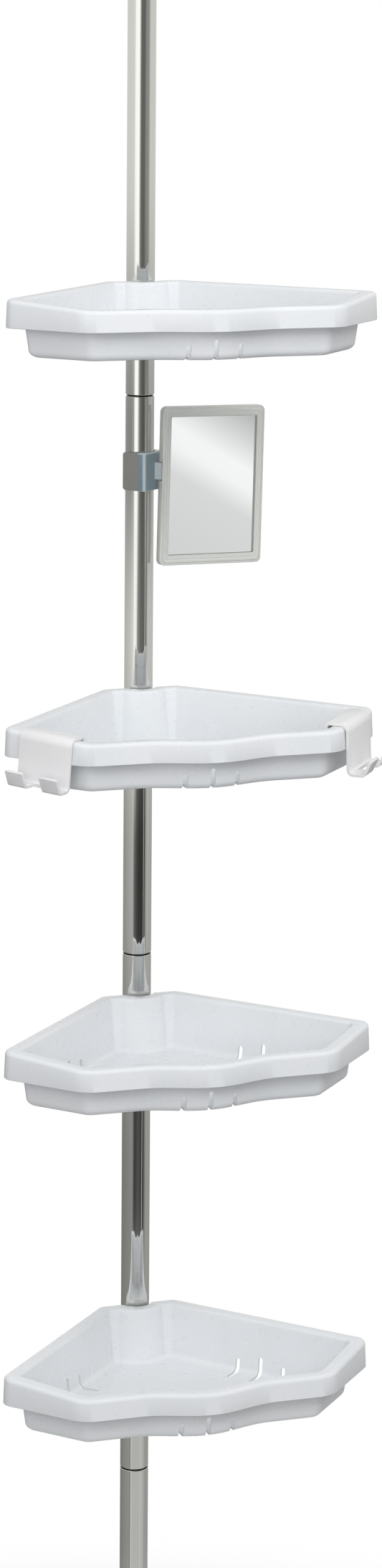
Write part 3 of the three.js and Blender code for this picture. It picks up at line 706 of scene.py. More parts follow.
class Finishes:
    """All finishes, made once, and given to pieces by slot."""

    def __init__(self) -> None:
        """Builds every material."""
        by_slot = {
            # The chrome is painted dark between these radii: painted shade in the seams of the pole
            Slot.CHROME: BrightMetal("chrome_plated_steel", "#e4e4e1", 0.035, seam_shade=(10.8, 12.35)),
            Slot.TRAY: MouldedPlastic("white_abs_moulding", "#e8eaec", "#e4e7e9", 0.3, glow=0.12, coat=0.1),
            Slot.HOOK: MouldedPlastic("white_abs_hook", "#ebebeb", "#e6e6e7", 0.3, glow=0.05),
            Slot.SLEEVE: MouldedPlastic("natural_nylon_sleeve", "#dfe1e0", "#d8dbdb", 0.42),
            Slot.FOOT: MouldedPlastic("white_abs_foot", "#e7e8e7", "#e1e3e2", 0.35, 0.9, 0.01),
            Slot.RUBBER: MouldedPlastic("grey_rubber_pad", "#8b8e8d", "#7e8281", 0.8, 0.7, 0.05, ior=1.45),
            Slot.PLUG: MouldedPlastic("natural_polypropylene_plug", "#c6c8c5", "#bcbfbc", 0.5),
            Slot.LINER: MouldedPlastic("soft_grip_strip", "#b4b6b5", "#a8abaa", 0.7, 0.8, 0.03),
            Slot.STEEL: BrightMetal("drawn_spring_steel", "#9a9b9c", 0.28, marks=0.4, mark_height=0.006),
            Slot.FRAME: ClearPlastic("clear_san_frame", "#e5e7e2", "#fafbf8", 0.08, 0.3),
            Slot.CLIP: clip_finish(),
            Slot.MIRROR: SilveredGlass("silvered_glass", "#e6e8e7", 0.015),
            Slot.COVER: MouldedPlastic("grey_styrene_cover", "#b9bcbc", "#b0b3b3", 0.4),
        }
        self.made = {slot: finish.make() for slot, finish in by_slot.items()}

    def dress(self, piece: Piece, slot: Slot) -> None:
        """Gives a piece the finish of a slot, in place of any it has."""
        piece.data.materials.clear()
        piece.data.materials.append(self.made[slot])


@dataclass
class Builder:
    """Common steps of every sub-assembly: dressing a piece, tying it to its body and reporting it."""

    finishes: Finishes

    def place(self, piece: Piece, slot: Slot, body: str, node: str) -> None:
        """Finishes a new piece.

        Args:
            piece: The piece, with its place in its mesh.
            slot: The finish.
            body: The CAD body that it moves with.
            node: The CAD node that it stands for.
        """
        self.finishes.dress(piece, slot)
        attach(piece, body)
        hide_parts(node)
        log.info("%s: %d faces, on %s, for %s", piece.name, len(piece.data.polygons), body, node)

    def tube(self, node: str, profile: list[Pair], steps: int, name: str, body: str) -> None:
        """Makes a chromed tube, whose long straight faces don't shade as if they curved at their ends."""
        piece = spun(name, profile, steps)
        shade(piece)
        modify(piece, "WEIGHTED_NORMAL", keep_sharp=True)
        self.place(piece, Slot.CHROME, body, node)

    def keep(self, node: str, slot: Slot) -> None:
        """Keeps a CAD node whose shape is right, with a finish of its own."""
        self.finishes.dress(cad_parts[node], slot)
        log.info("%s: kept from the CAD", node)


# Sub-assemblies


@dataclass
class Pole(Builder):
    """Four plugged lengths of chromed tube, standing in the floor foot."""

    spigot: float = 55.0
    seam: float = 0.7
    lengths: int = 4

    def plain_profile(self, bottom: float, top: float) -> list[Pair]:
        """Profile of a plain length of tube."""
        bore = POLE_RADIUS - TUBE_WALL
        return rounded([
            (bore, bottom, 0), (POLE_RADIUS, bottom, 0.3), (POLE_RADIUS, top, 0.4), (bore, top, 0.3),
        ], 3)

    def plugged_profile(self, bottom: float, top: float) -> list[Pair]:
        """Profile of a length whose lower end is necked down to a spigot."""
        bore, outside = POLE_RADIUS - TUBE_WALL, POLE_RADIUS - TUBE_WALL - FIT
        shoulder = bottom + 2 * self.seam
        return rounded([
            (bore, shoulder + TUBE_WALL, 0.2),
            (bore, top, 0.3),
            (POLE_RADIUS, top, 0.4),
            (POLE_RADIUS, shoulder, 0.4),
            (outside, bottom + self.seam, 0.2),
            (outside, bottom - self.spigot, 0.3),
            (outside - TUBE_WALL, bottom - self.spigot, 0.3),
            (outside - TUBE_WALL, bottom + self.seam, 0.2),
        ], 3)

    def build(self) -> None:
        """Makes the four lengths."""
        for i in range(self.lengths):
            name = f"pole_section_{i + 1}"
            if i == 0:
                profile = self.plain_profile(bottom_of(name), top_of(name))
            else:
                profile = self.plugged_profile(bottom_of(name) + self.spigot, top_of(name))
            self.tube(name, profile, 128, f"{name}_tube", "pole")


@dataclass
class Feet(Builder):
    """The moulded foot and its rubber pad, at the floor and again at the ceiling."""

    pad_radius: float = 33.0
    pad: float = 5.0
    foot_radius: float = 30.0
    plate: float = 4.0
    cone: float = 9.0
    cone_foot: Pair = (5.0, 1.2)
    boss_wall: float = 3.6
    boss_height: float = 32.0
    lip: float = 1.1
    lip_drops: Pair = (4.0, 3.4)
    tread_rings: tuple[float, ...] = (12.0, 18.0, 24.0)
    groove: tuple[Pair, ...] = ((-1.2, 0.0), (-0.8, 0.8), (0.8, 0.8), (1.2, 0.0))

    def pad_profile(self) -> list[Pair]:
        """Profile of the pad, standing on 0, with shallow round grooves in its tread."""
        tread = [(radius + x, depth, 0.2) for radius in self.tread_rings for x, depth in self.groove]
        outer, top = self.pad_radius, self.pad
        return rounded([(0, 0, 0), *tread, (outer, 0, 1.3), (outer, top, 1.3), (0, top, 0)])

    def foot_profile(self, tube: float) -> list[Pair]:
        """Profile of the foot for a tube's radius, standing on 0."""
        bore = tube + FIT
        boss = bore + self.boss_wall
        low_lip, high_lip = (self.boss_height - drop for drop in self.lip_drops)
        return rounded([
            (0, 0, 0),
            (self.foot_radius, 0, 0.6),
            (self.foot_radius, self.plate, 1.6),
            (boss + self.cone_foot[0], self.plate + self.cone_foot[1], 4.0),
            (boss, self.plate + self.cone, 6.0),
            (boss, low_lip, 0.6),
            (boss + self.lip, high_lip, 0.6),
            (boss + self.lip, self.boss_height, 1.0),
            (bore, self.boss_height, 0.5),
            (bore, self.plate, 0),
            (0, self.plate, 0),
        ])

    def build(self) -> None:
        """Makes both feet with their pads."""
        upside_down = at(z=top_of("ceiling_foot_grip")) @ turned(180, "X")
        for end, body, tube, matrix in (
            ("floor", "pole", POLE_RADIUS, at()),
            ("ceiling", "plunger", PLUNGER_RADIUS, upside_down),
        ):
            pad = put(spun(f"{end}_rubber_pad", self.pad_profile()), matrix)
            foot = spun(f"{end}_foot_moulding", self.foot_profile(tube))
            put(foot, matrix @ at(z=self.pad + FIT))
            shade(pad)
            self.place(pad, Slot.RUBBER, body, f"{end}_foot_grip")
            shade(foot)
            self.place(foot, Slot.FOOT, body, f"{end}_foot")


@dataclass
class Telescope(Builder):
    """The sprung upper end: guide collar, sliding tube, and the spring with its plugs inside the pole."""

    collar_wall: float = 2.2
    collar_top: float = 7.0
    tongue: float = 14.0
    groove_drops: Triple = (7.0, 11.0, 15.0)
    groove: tuple[Pair, ...] = ((0.0, 0.0), (-0.6, -0.5), (-0.6, -1.1), (0.0, -1.6))

    def collar_profile(self) -> list[Pair]:
        """Profile of the guide collar, with three grip grooves in its skirt."""
        bore, inside = PLUNGER_RADIUS + FIT, POLE_RADIUS + FIT
        outside = inside + self.collar_wall
        tongue = POLE_RADIUS - TUBE_WALL - FIT
        top, skirt = top_of("guide_collar"), bottom_of("guide_collar")
        pole_top = top - self.collar_top
        return rounded([
            (bore, top, 0.5),
            (outside, top, 2.4),
            *[(outside + x, top - drop + z, 0.2) for drop in self.groove_drops for x, z in self.groove],
            (outside, skirt, 0.6),
            (inside, skirt, 0.2),
            (inside, pole_top + FIT, 0),
            (tongue, pole_top + FIT, 0),
            (tongue, pole_top - self.tongue, 0.3),
            (bore, pole_top - self.tongue, 0.3),
        ], 3)

    def build(self) -> None:
        """Makes the collar and the sliding tube, and dresses what the pole hides."""
        collar = spun("guide_collar_bush", self.collar_profile())
        shade(collar)
        self.place(collar, Slot.FOOT, "pole", "guide_collar")
        bore, low, high = PLUNGER_RADIUS - TUBE_WALL, bottom_of("plunger_tube"), top_of("plunger_tube")
        profile = rounded([
            (bore, low, 0.2), (PLUNGER_RADIUS, low, 0.3), (PLUNGER_RADIUS, high, 0.3), (bore, high, 0.2),
        ], 3)
        self.tube("plunger_tube", profile, 112, "plunger_sliding_tube", "plunger")
        self.keep("plunger_plug", Slot.PLUG)
        self.keep("spring_seat", Slot.PLUG)
        self.keep("tension_spring", Slot.STEEL)


@dataclass(frozen=True)
class TrayForm:
    """Sizes of a moulded tray, measured from the pole's axis and from the top of its rim at the tips."""

    notch: float = 14.0
    horn_x: float = 35.2
    back: float = 5.6
    horn_radius: float = 8.6
    tip: Pair = (168.0, -154.0)
    tip_radius: float = 11.2
    corner: Pair = (111.5, -216.8)
    corner_radius: float = 29.0
    swell: float = 13.8
    swell_half: float = 61.5
    swell_steps: int = 28
    inner_radius: float = 6.0
    sharp_radius: float = 1.5
    horn_flat: float = 0.8
    wall: float = 2.2
    rim: float = 13.0
    rim_round: float = 4.0
    lip_round: float = 3.0
    skirt: float = 24.5
    flare: float = 0.8
    depth: float = 50.0
    draft: float = 4.4
    floor_round: float = 5.0
    fall: float = 6.0

    def front_edge(self, x: float, inset: float) -> float:
        """Y of the front edge at an x, with its smooth swell."""
        share = (1 + math.cos(math.pi * x / self.swell_half)) / 2 if abs(x) < self.swell_half else 0.0
        return self.corner[1] + inset - self.swell * share

    @staticmethod
    def moved(a: Vector, b: Vector, inset: float) -> tuple[Vector, Vector]:
        """The line from a to b, moved to its right."""
        inward = Vector((b.y - a.y, a.x - b.x)).normalized() * inset
        return a + inward, b + inward

    @staticmethod
    def meet(first: tuple[Vector, Vector], second: tuple[Vector, Vector]) -> Vector:
        """Where two lines, each given by two points, cross."""
        ab, cd, gap = first[1] - first[0], second[1] - second[0], second[0] - first[0]
        return first[0] + ab * ((gap.x * cd.y - gap.y * cd.x) / (ab.x * cd.y - ab.y * cd.x))

    def notch_level(self, radius: float, wall: tuple[Vector, Vector], inset: float) -> float:
        """Y at which the notch's circle gives way to the back edge."""
        along = (wall[1] - wall[0]).normalized()
        nearest = wall[0] - along * wall[0].dot(along)
        reach = radius * radius - nearest.length_squared
        crossing = (nearest + along * math.sqrt(reach)).y - self.horn_flat if reach > 0 else 0.0
        return min(-self.back - inset, crossing)

    def outline(self, inset: float) -> list[Pair]:
        """Outline of the tray at an inset from the rim's edge.

        Args:
            inset: Distance inwards from the edge of the rim.

        Returns:
            The outline, anticlockwise and with the same number of points for every inset.
        """
        horn, tip, corner = Vector((self.horn_x, -self.back)), Vector(self.tip), Vector(self.corner)
        wall, end = self.moved(horn, tip, inset), self.moved(tip, corner, inset)
        front = self.moved(corner, Vector((0, corner.y)), inset)
        notch = self.notch + inset
        level = self.notch_level(notch, wall, inset)
        notch_end = Vector((math.sqrt(notch * notch - level * level), level))
        horn_point = self.meet((notch_end, Vector((tip.x, level))), wall)
        tip_point, corner_point = self.meet(wall, end), self.meet(end, front)
        front_point = Vector((self.swell_half, corner_point.y))
        horn_radius = max(self.horn_radius - inset, self.sharp_radius)
        tip_radius = max(self.tip_radius - inset, self.inner_radius)
        corner_radius = max(self.corner_radius - inset, self.inner_radius)
        right = [
            *corner_arc(notch_end, horn_point, tip_point, horn_radius, 6),
            *corner_arc(horn_point, tip_point, corner_point, tip_radius, 10),
            *corner_arc(tip_point, corner_point, front_point, corner_radius, 14),
        ]
        reach = math.degrees(math.atan2(notch_end.x, -notch_end.y))
        swell = [self.swell_half * (1 - 2 * i / self.swell_steps) for i in range(self.swell_steps + 1)]
        clockwise = [
            *arc(0, 0, notch, -90 - reach, -90 + reach, 24),
            *right,
            *[(x, self.front_edge(x, inset)) for x in swell],
            *[(-x, y) for x, y in reversed(right)],
        ]
        return clockwise[::-1]

    def section(self) -> list[Pair]:
        """Section through rim and basin as inset and height, from the floor's face round to its underside."""
        floor_inset = self.rim + self.draft + self.floor_round
        floor = self.wall - self.depth + self.floor_round
        lip_x = self.rim - self.lip_round
        # The first two corners only lead to the round lower ones, and drop out again
        edge = rounded([
            (self.wall - self.flare, -self.skirt / 2, 0),
            (-self.flare / 2, -self.skirt / 2, 0),
            (-self.flare, -self.skirt, 0.9),
            (self.wall - self.flare, -self.skirt, 0.9),
        ], 3)[2:]
        return [
            *arc(floor_inset, floor, self.floor_round, 270, 180, 6),
            *arc(lip_x, -self.lip_round, self.lip_round, 0, 90, 6),
            *arc(self.rim_round, -self.rim_round, self.rim_round, 90, 180, 8),
            *edge,
            *arc(self.rim_round, -self.rim_round, self.rim_round - self.wall, 180, 90, 3),
            *arc(lip_x, -self.lip_round, self.lip_round - self.wall, 90, 0, 3),
            *arc(floor_inset, floor, self.floor_round + self.wall, 180, 270, 6),
        ]

    def rings(self) -> list[list[Vector]]:
        """Rings of the tray's skin: what is above the skirt's lower edge falls with the rim to the front."""
        span = self.tip[1] - self.corner[1]
        shares = [min(max((self.tip[1] - y) / span, 0.0), 1.0) for _, y in self.outline(0)]
        rings = []
        for inset, height in self.section():
            moving = min(max((height + self.skirt) / (self.skirt / 2), 0.0), 1.0)
            drop = [self.fall * share * moving for share in shares]
            rings.append([Vector((x, y, height - d)) for (x, y), d in zip(self.outline(inset), drop)])
        return rings


@dataclass
class Trays(Builder):
    """Four one-piece trays with drain slots, each wedged on a split sleeve."""

    form: TrayForm = TrayForm()
    names: tuple[str, ...] = ("bottom_tray", "lower_tray", "upper_tray", "top_tray")
    slot_width: float = 4.2
    slot_spacing: float = 23.0
    slot_round: float = 0.98  # Share of the half width
    outer_slot: float = 36.5
    middle_slot: float = 32.0
    slot_run: float = 13.0
    near: float = 0.01
    socket_drop: float = 20.0
    socket_wall: float = 3.0
    rib: float = 3.0
    rib_root: float = 1.1
    rib_drop: float = 21.0
    rib_directions: Triple = (-90.0, -50.0, -130.0)
    sleeve_drop: float = 26.0
    sleeve_walls: Pair = (2.2, 3.9)
    sleeve_collar_wall: float = 6.4
    sleeve_collar_drop: float = 52.0
    sleeve_collar: float = 4.0
    sleeve_split: float = 0.8

    def sleeve_radius(self, drop: float) -> float:
        """Radius of the sleeve's tapered outside at a depth under the rim."""
        share = (drop - self.sleeve_drop) / (self.sleeve_collar_drop - self.sleeve_drop)
        thin, thick = self.sleeve_walls
        return POLE_RADIUS + FIT + thin + (thick - thin) * share

    def socket(self) -> list[Piece]:
        """The tapered socket behind the basin and the ribs that carry it."""
        form = self.form
        top, low = (self.sleeve_radius(drop) + FIT for drop in (self.socket_drop, form.depth))
        ring = spun("socket", rounded([
            (top, -self.socket_drop, 0.6),
            (top + self.socket_wall, -self.socket_drop, 1.0),
            (low + self.socket_wall, -form.depth, 0.8),
            (low, -form.depth, 0.4),
        ], 3), 72)
        wall_top = form.notch + form.rim - form.wall + self.rib_root
        start, bottom, level = low + self.rib_root, form.floor_round + form.wall - form.depth, -self.rib_drop
        side = [(start, bottom), (wall_top + form.draft, bottom), (wall_top, level), (start, level)]
        ribs = [
            put(extruded("rib", side, -self.rib / 2, self.rib / 2), turned(direction, "Z") @ turned(90, "X"))
            for direction in self.rib_directions
        ]
        return [ring, *ribs]

    def slot_cutter(self, drop: float) -> Piece:
        """Round-ended bar that cuts one drain slot through the wall and along the floor, towards +X."""
        outside, inside = -self.form.rim - self.form.draft, self.form.floor_round + self.slot_run
        half, low = self.slot_width / 2, -self.form.depth - PAST
        outline = [(outside, -half), (inside, -half), (inside, half), (outside, half)]
        cutter = extruded("slot", outline, low, -drop)
        edit(cutter)
        bpy.ops.mesh.select_all(action="DESELECT")
        bpy.ops.object.mode_set(mode="OBJECT")
        for edge in cutter.data.edges:
            a, b = (cutter.data.vertices[i].co / MM for i in edge.vertices)
            top = min(a.z, b.z) > -drop - self.near and abs(a.x - b.x) > self.near
            end = min(a.x, b.x) > inside - self.near and abs(a.z - b.z) > self.near
            edge.select = top or end
        bpy.ops.object.mode_set(mode="EDIT")
        bpy.ops.mesh.select_mode(type="EDGE")
        bpy.ops.mesh.bevel(offset=half * self.slot_round * MM, segments=5, affect="EDGES")
        bpy.ops.object.mode_set(mode="OBJECT")
        return cutter

    def slot_places(self) -> list[tuple[Vector, float]]:
        """Middle of the basin's foot at the front and at both back walls, and the way inwards in radians."""
        form, inset = self.form, self.form.rim + self.form.draft
        a, b = form.moved(Vector((form.horn_x, -form.back)), Vector(form.tip), inset)
        middle, inward = (a + b) / 2, math.atan2(a.x - b.x, b.y - a.y)
        return [
            (Vector((0, form.front_edge(0, inset))), math.pi / 2),
            (middle, inward),
            (Vector((-middle.x, middle.y)), math.pi - inward),
        ]

    def model(self) -> Piece:
        """One whole tray, with its rim's top at 0."""
        tray = skin("tray_model", self.form.rings())
        combine(tray, self.socket(), "UNION")
        cutters = []
        for place, facing in self.slot_places():
            wall = at(*place) @ Matrix.Rotation(facing, 4, "Z")
            for step in (-1, 0, 1):
                cutter = self.slot_cutter(self.outer_slot if step else self.middle_slot)
                cutters.append(put(cutter, wall @ at(y=step * self.slot_spacing)))
        combine(tray, cutters, "DIFFERENCE")
        shade(tray, 28)
        return tray

    def sleeve_model(self) -> Piece:
        """Right half of the split sleeve, with its collar at the foot."""
        bore, depth = POLE_RADIUS + FIT, self.form.depth
        collar = bore + self.sleeve_collar_wall
        low = -self.sleeve_collar_drop - self.sleeve_collar
        sleeve = spun("sleeve_model", rounded([
            (bore, -self.sleeve_drop, 0.4),
            (self.sleeve_radius(self.sleeve_drop), -self.sleeve_drop, 0.6),
            (self.sleeve_radius(depth), -depth, 0.5),
            (self.sleeve_radius(depth), -self.sleeve_collar_drop, 0.3),
            (collar, -self.sleeve_collar_drop, 1.2),
            (collar, low, 1.2),
            (bore, low, 0.5),
        ], 3), 72)
        edit(sleeve)
        plane = (self.sleeve_split / 2 * MM, 0, 0)
        bpy.ops.mesh.bisect(plane_co=plane, plane_no=(1, 0, 0), use_fill=True, clear_inner=True)
        shade(healed(sleeve))
        return sleeve

    def build(self) -> None:
        """Makes the four trays and their sleeves from one model of each."""
        tray, sleeve = self.model(), self.sleeve_model()
        for name in self.names:
            lift = at(z=top_of(name))
            self.place(copied(tray, f"{name}_moulding", lift), Slot.TRAY, name, name)
            for side in Side:
                turn = turned(0 if side is Side.RIGHT else 180, "Z")
                node = f"{name}_sleeve_{side.name.lower()}"
                self.place(copied(sleeve, f"{node}_half", lift @ turn), Slot.SLEEVE, f"{name}_sleeve", node)
        for model in (tray, sleeve):
            bpy.data.objects.remove(model)


@dataclass
class DoubleHooks(Builder):
    """Two bent strips hung over the ends of the upper tray's rim, each with two prongs."""

    form: TrayForm = TrayForm()
    width: float = 50.8
    thickness: float = 2.4
    lip_depth: float = 12.0
    lip_bend: float = 4.0
    top_bend: float = 8.0
    plate: float = 43.0
    floor_bend: float = 5.4
    prong_width: float = 17.0
    reach: float = 16.0
    rise: float = 14.5
    lean: float = 27.0  # Degrees
    tip_round: float = 4.0
    gap: float = 0.35
    slot_start: float = 0.35  # Share of the bend under the prongs
    crown_start: float = 4.0
    past: float = 4.0
    place_share: float = 0.545  # From the rim's tip to its corner
    edge_round: float = 0.45

    def path(self) -> list[Pair]:
        """Middle of the strip as outwards and up, from the lip in the basin to the tip of a prong."""
        form, half = self.form, self.thickness / 2
        lip = -form.rim - form.draft * self.lip_depth / form.depth - form.lip_round / 2 - self.gap - half
        lip_bend, top_bend, floor_bend = self.lip_bend - half, self.top_bend - half, self.floor_bend - half
        top, plate, floor = self.gap + half, form.flare + self.gap + half, half - self.plate
        end = plate + self.reach - floor_bend
        prong = arc(end, floor + floor_bend, floor_bend, 270, 360 - self.lean, 8)
        x, y = prong[-1]
        tip = self.rise - self.plate
        return [
            (lip, -self.lip_depth),
            *arc(lip + lip_bend, top - lip_bend, lip_bend, 180, 90, 8),
            *arc(plate - top_bend, top - top_bend, top_bend, 90, 0, 10),
            *arc(plate + floor_bend, floor + floor_bend, floor_bend, 180, 270, 8),
            *prong,
            (x + (tip - y) * math.tan(math.radians(self.lean)), tip),
        ]

    def model(self) -> Piece:
        """One hook at the origin: outwards along +X, its width along Y."""
        half = self.width / 2
        rings = [
            [Vector((p.x, y, p.y)) for p, y in ((a, -half), (a, half), (b, half), (b, -half))]
            for a, b in strip_outline(self.path(), self.thickness)
        ]
        hook = skin("hook_model", rings)
        start = self.form.flare + self.gap + self.thickness
        far = start + self.reach + self.rise
        top = self.rise - self.plate + self.thickness / 2 * math.sin(math.radians(self.lean))
        gap, edge = half - self.prong_width, half + self.past
        low, high = -self.plate - self.past, top + self.past
        between = [(-gap, low), (gap, low), (gap, high), (-gap, high)]
        slot = put(extruded("waste", between, start + self.floor_bend * self.slot_start, far), STAND)
        bend = top - self.tip_round
        crown = [
            (-edge, high, 0), (-edge, bend, 0), (-half, bend, 0),
            (-half, top, self.tip_round), (-gap, top, self.tip_round), (-gap, bend, 0),
        ]
        crown += [(-x, z, radius) for x, z, radius in reversed(crown)]
        cap = put(extruded("cap", rounded(crown, 6), start + self.crown_start, far), STAND)
        combine(hook, [slot, cap], "DIFFERENCE")
        soften(hook, self.edge_round, 3, 40)
        shade(hook)
        return hook

    def build(self) -> None:
        """Makes the left and the right hook, each along the slope of its end of the rim."""
        tip, corner = self.form.tip, self.form.corner
        across, forwards = tip[0] - corner[0], tip[1] - corner[1]
        slope = math.atan(self.form.fall / math.hypot(across, forwards))
        outward = math.atan2(-across, forwards)
        x, y = Vector(tip).lerp(Vector(corner), self.place_share)
        z = top_of("upper_tray") - self.form.fall * self.place_share
        model = self.model()
        for side in Side:
            turn = outward if side is Side.RIGHT else math.pi - outward
            facing = at(side.value * x, y, z) @ Matrix.Rotation(turn, 4, "Z")
            name = f"{side.name.lower()}_hook"
            hook = copied(model, f"{name}_strip", facing @ Matrix.Rotation(side.value * slope, 4, "X"))
            self.place(hook, Slot.HOOK, name, name)
        bpy.data.objects.remove(model)


@dataclass
class Mirror(Builder):
    """The mirror in its stepped clear frame, swinging on the pin of the clip's arm."""

    lean: float = 1.3  # Degrees
    turn: float = 7.5  # Degrees
    width: float = 99.8
    height: float = 141.6
    depth: float = 9.0
    corner: float = 5.0
    least_corner: float = 0.9
    glass: Triple = (86.1, 124.9, 3.0)
    lip: float = 0.8
    front_lip: float = 2.6
    drop: float = 13.2
    step_inset: float = 2.4
    step_depth: float = 1.2
    groove: float = 5.2
    groove_half: float = 0.7
    groove_depth: float = 0.6
    even_border: float = 6.1
    from_edge: float = 3.4
    notch_gap: float = 0.9
    notch_width: float = 6.0
    notch_skin: float = 1.6
    edge_round: float = 0.25
    pane_bevel: float = 0.5
    cover_bevel: float = 0.3

    def stand(self) -> Matrix:
        """From the mirror's own directions to the frame's."""
        return at(*HINGE, middle_of("mirror_clip")) @ (turned(self.lean, "Y") @ turned(self.turn, "Z"))

    def ring(self, inset: float, depth: float) -> list[Vector]:
        """Upright ring at an inset from the frame's outer edge, at a depth.

        Inside the even border, the frame is wider above and below the pane than at its sides.
        """
        radius = max(self.corner - inset / 2, self.least_corner)
        middle_x = self.width / 2 - self.from_edge
        extra = 0.0
        if inset > self.even_border:
            extra = (self.height - self.glass[1]) - (self.width - self.glass[0])
        points = rounded_rectangle(self.width - 2 * inset, self.height - 2 * inset - extra, radius)
        return [Vector((middle_x + x, depth, z - self.drop)) for x, z in points]

    def frame_piece(self) -> Piece:
        """The stepped frame, with the notch that the hinge sits in."""
        front, back = -self.depth / 2, self.depth / 2
        recess = (self.width - self.glass[0]) / 2 - FIT
        window = recess + FIT + self.lip
        section = rounded([
            (0, back, 0.7),
            (0, front + self.step_depth, 0.8),
            (self.step_inset, front + self.step_depth, 0.3),
            (self.step_inset, front, 0.6),
            (self.groove - self.groove_half, front, 0.2),
            (self.groove, front + self.groove_depth, 0.2),
            (self.groove + self.groove_half, front, 0.2),
            (window, front, 0.5),
            (window, front + self.front_lip, 0),
            (recess, front + self.front_lip, 0),
            (recess, back, 0.4),
        ], 3)
        piece = skin("mirror_clear_frame", [self.ring(inset, depth) for inset, depth in section], closed=True)
        half = ARM_HEIGHT / 2 + self.notch_gap
        left, right = -self.from_edge - PAST, self.notch_width - self.from_edge
        low, high = front + self.notch_skin, back + PAST
        outline = rounded([(left, low, 0), (right, low, 0.8), (right, high, 0), (left, high, 0)])
        combine(piece, [extruded("notch", outline, -half, half)], "DIFFERENCE")
        soften(piece, self.edge_round, 2, 40)
        shade(piece)
        return put(piece, self.stand())

    def pane(self, name: str, front: float, thickness: float, bevel: float) -> Piece:
        """Flat pane in the frame's recess, with a fine bevel round its front."""
        inset = (self.width - self.glass[0]) / 2
        places = (inset, front + thickness), (inset, front + bevel), (inset + bevel, front)
        piece = skin(name, [self.ring(*place) for place in places])
        shade(piece, 20)
        return put(piece, self.stand())

    def build(self) -> None:
        """Makes the frame, the silvered pane and the back cover, and dresses the pin."""
        self.place(self.frame_piece(), Slot.FRAME, "mirror", "mirror_frame")
        front = -self.depth / 2 + self.front_lip + FIT
        pane = self.pane("mirror_silvered_pane", front, self.glass[2], self.pane_bevel)
        self.place(pane, Slot.MIRROR, "mirror", "mirror_glass")
        cover_front = front + self.glass[2] + FIT
        thickness = self.depth / 2 - FIT - cover_front
        cover = self.pane("mirror_back_cover", cover_front, thickness, self.cover_bevel)
        self.place(cover, Slot.COVER, "mirror", "mirror_back")
        self.keep("mirror_pivot_pin", Slot.STEEL)


@dataclass
class MirrorClip(Builder):
    """The block that snaps on the pole, with its grip strip, its arm and the hinge barrel."""

    turn: float = 40.0  # Degrees
    height: float = 34.0
    half_width: float = 15.0
    jaw: float = 8.5
    jaw_corner: float = 1.2
    corner: float = 3.6
    edge_round: float = 0.5
    liner: float = 0.7
    arm_thickness: float = 3.0
    arm_root: float = 1.0
    barrel_radius: float = 2.3
    pin_hole: float = 1.25

    def block(self) -> Piece:
        """The C-shaped block with its arm and barrel, in its own directions."""
        w, half = self.half_width, self.height / 2
        jaw, corner, back = self.jaw, self.corner, -self.half_width - PAST
        plan = [(-w, -w, corner), (w, -w, corner), (w, jaw, self.jaw_corner), (-w, jaw, self.jaw_corner)]
        body = extruded("mirror_clip_block", rounded(plan, 6), -half, half)
        side = [(back, -half, 0), (jaw, -half, corner), (jaw, half, corner), (back, half, 0)]
        envelope = put(extruded("envelope", rounded(side, 6), -w - PAST, w + PAST), STAND)
        combine(body, [envelope], "INTERSECT")
        bore = circle(0, 0, POLE_RADIUS + FIT + self.liner + FIT, 72)
        combine(body, [extruded("hole", bore, -self.height, self.height)], "DIFFERENCE")
        soften(body, self.edge_round, 3, 50)
        x, y = Matrix.Rotation(-math.radians(self.turn), 2) @ Vector(HINGE)
        arm_half, side_half, root = ARM_HEIGHT / 2, self.arm_thickness / 2, self.arm_root - w
        plan = [(x - side_half, y), (x + side_half, y), (x + side_half, root), (x - side_half, root)]
        arm = extruded("arm", plan, -arm_half, arm_half)
        barrel = extruded("barrel", circle(x, y, self.barrel_radius, 36), -arm_half, arm_half)
        combine(body, [arm, barrel], "UNION")
        pin = extruded("pin_hole", circle(x, y, self.pin_hole, 24), -self.height, self.height)
        combine(body, [pin], "DIFFERENCE")
        shade(body)
        return body

    def build(self) -> None:
        """Makes the block and keeps the grip strip."""
        matrix = at(z=middle_of("mirror_clip")) @ turned(self.turn, "Z")
        self.place(put(self.block(), matrix), Slot.CLIP, "mirror_clip", "mirror_clip")
        self.keep("mirror_clip_liner", Slot.LINER)


# Surroundings


@dataclass(frozen=True)
class SoftBox:
    """Rectangular lamp. Its places and sizes are in metres and its power is in watts."""

    name: str
    place: Triple
    aim: Triple
    size: Pair
    power: float

    def hang(self) -> None:
        """Makes the lamp, which no shiny or clear surface shows."""
        data = bpy.data.lights.new(self.name, "AREA")
        data.shape = "RECTANGLE"
        data.size, data.size_y = self.size
        data.energy = self.power
        lamp = bpy.data.objects.new(self.name, data)
        bpy.context.scene.collection.objects.link(lamp)
        lamp.location = self.place
        lamp.visible_glossy = lamp.visible_transmission = False
        lamp.rotation_euler = (Vector(self.aim) - Vector(self.place)).to_track_quat("-Z", "Y").to_euler()


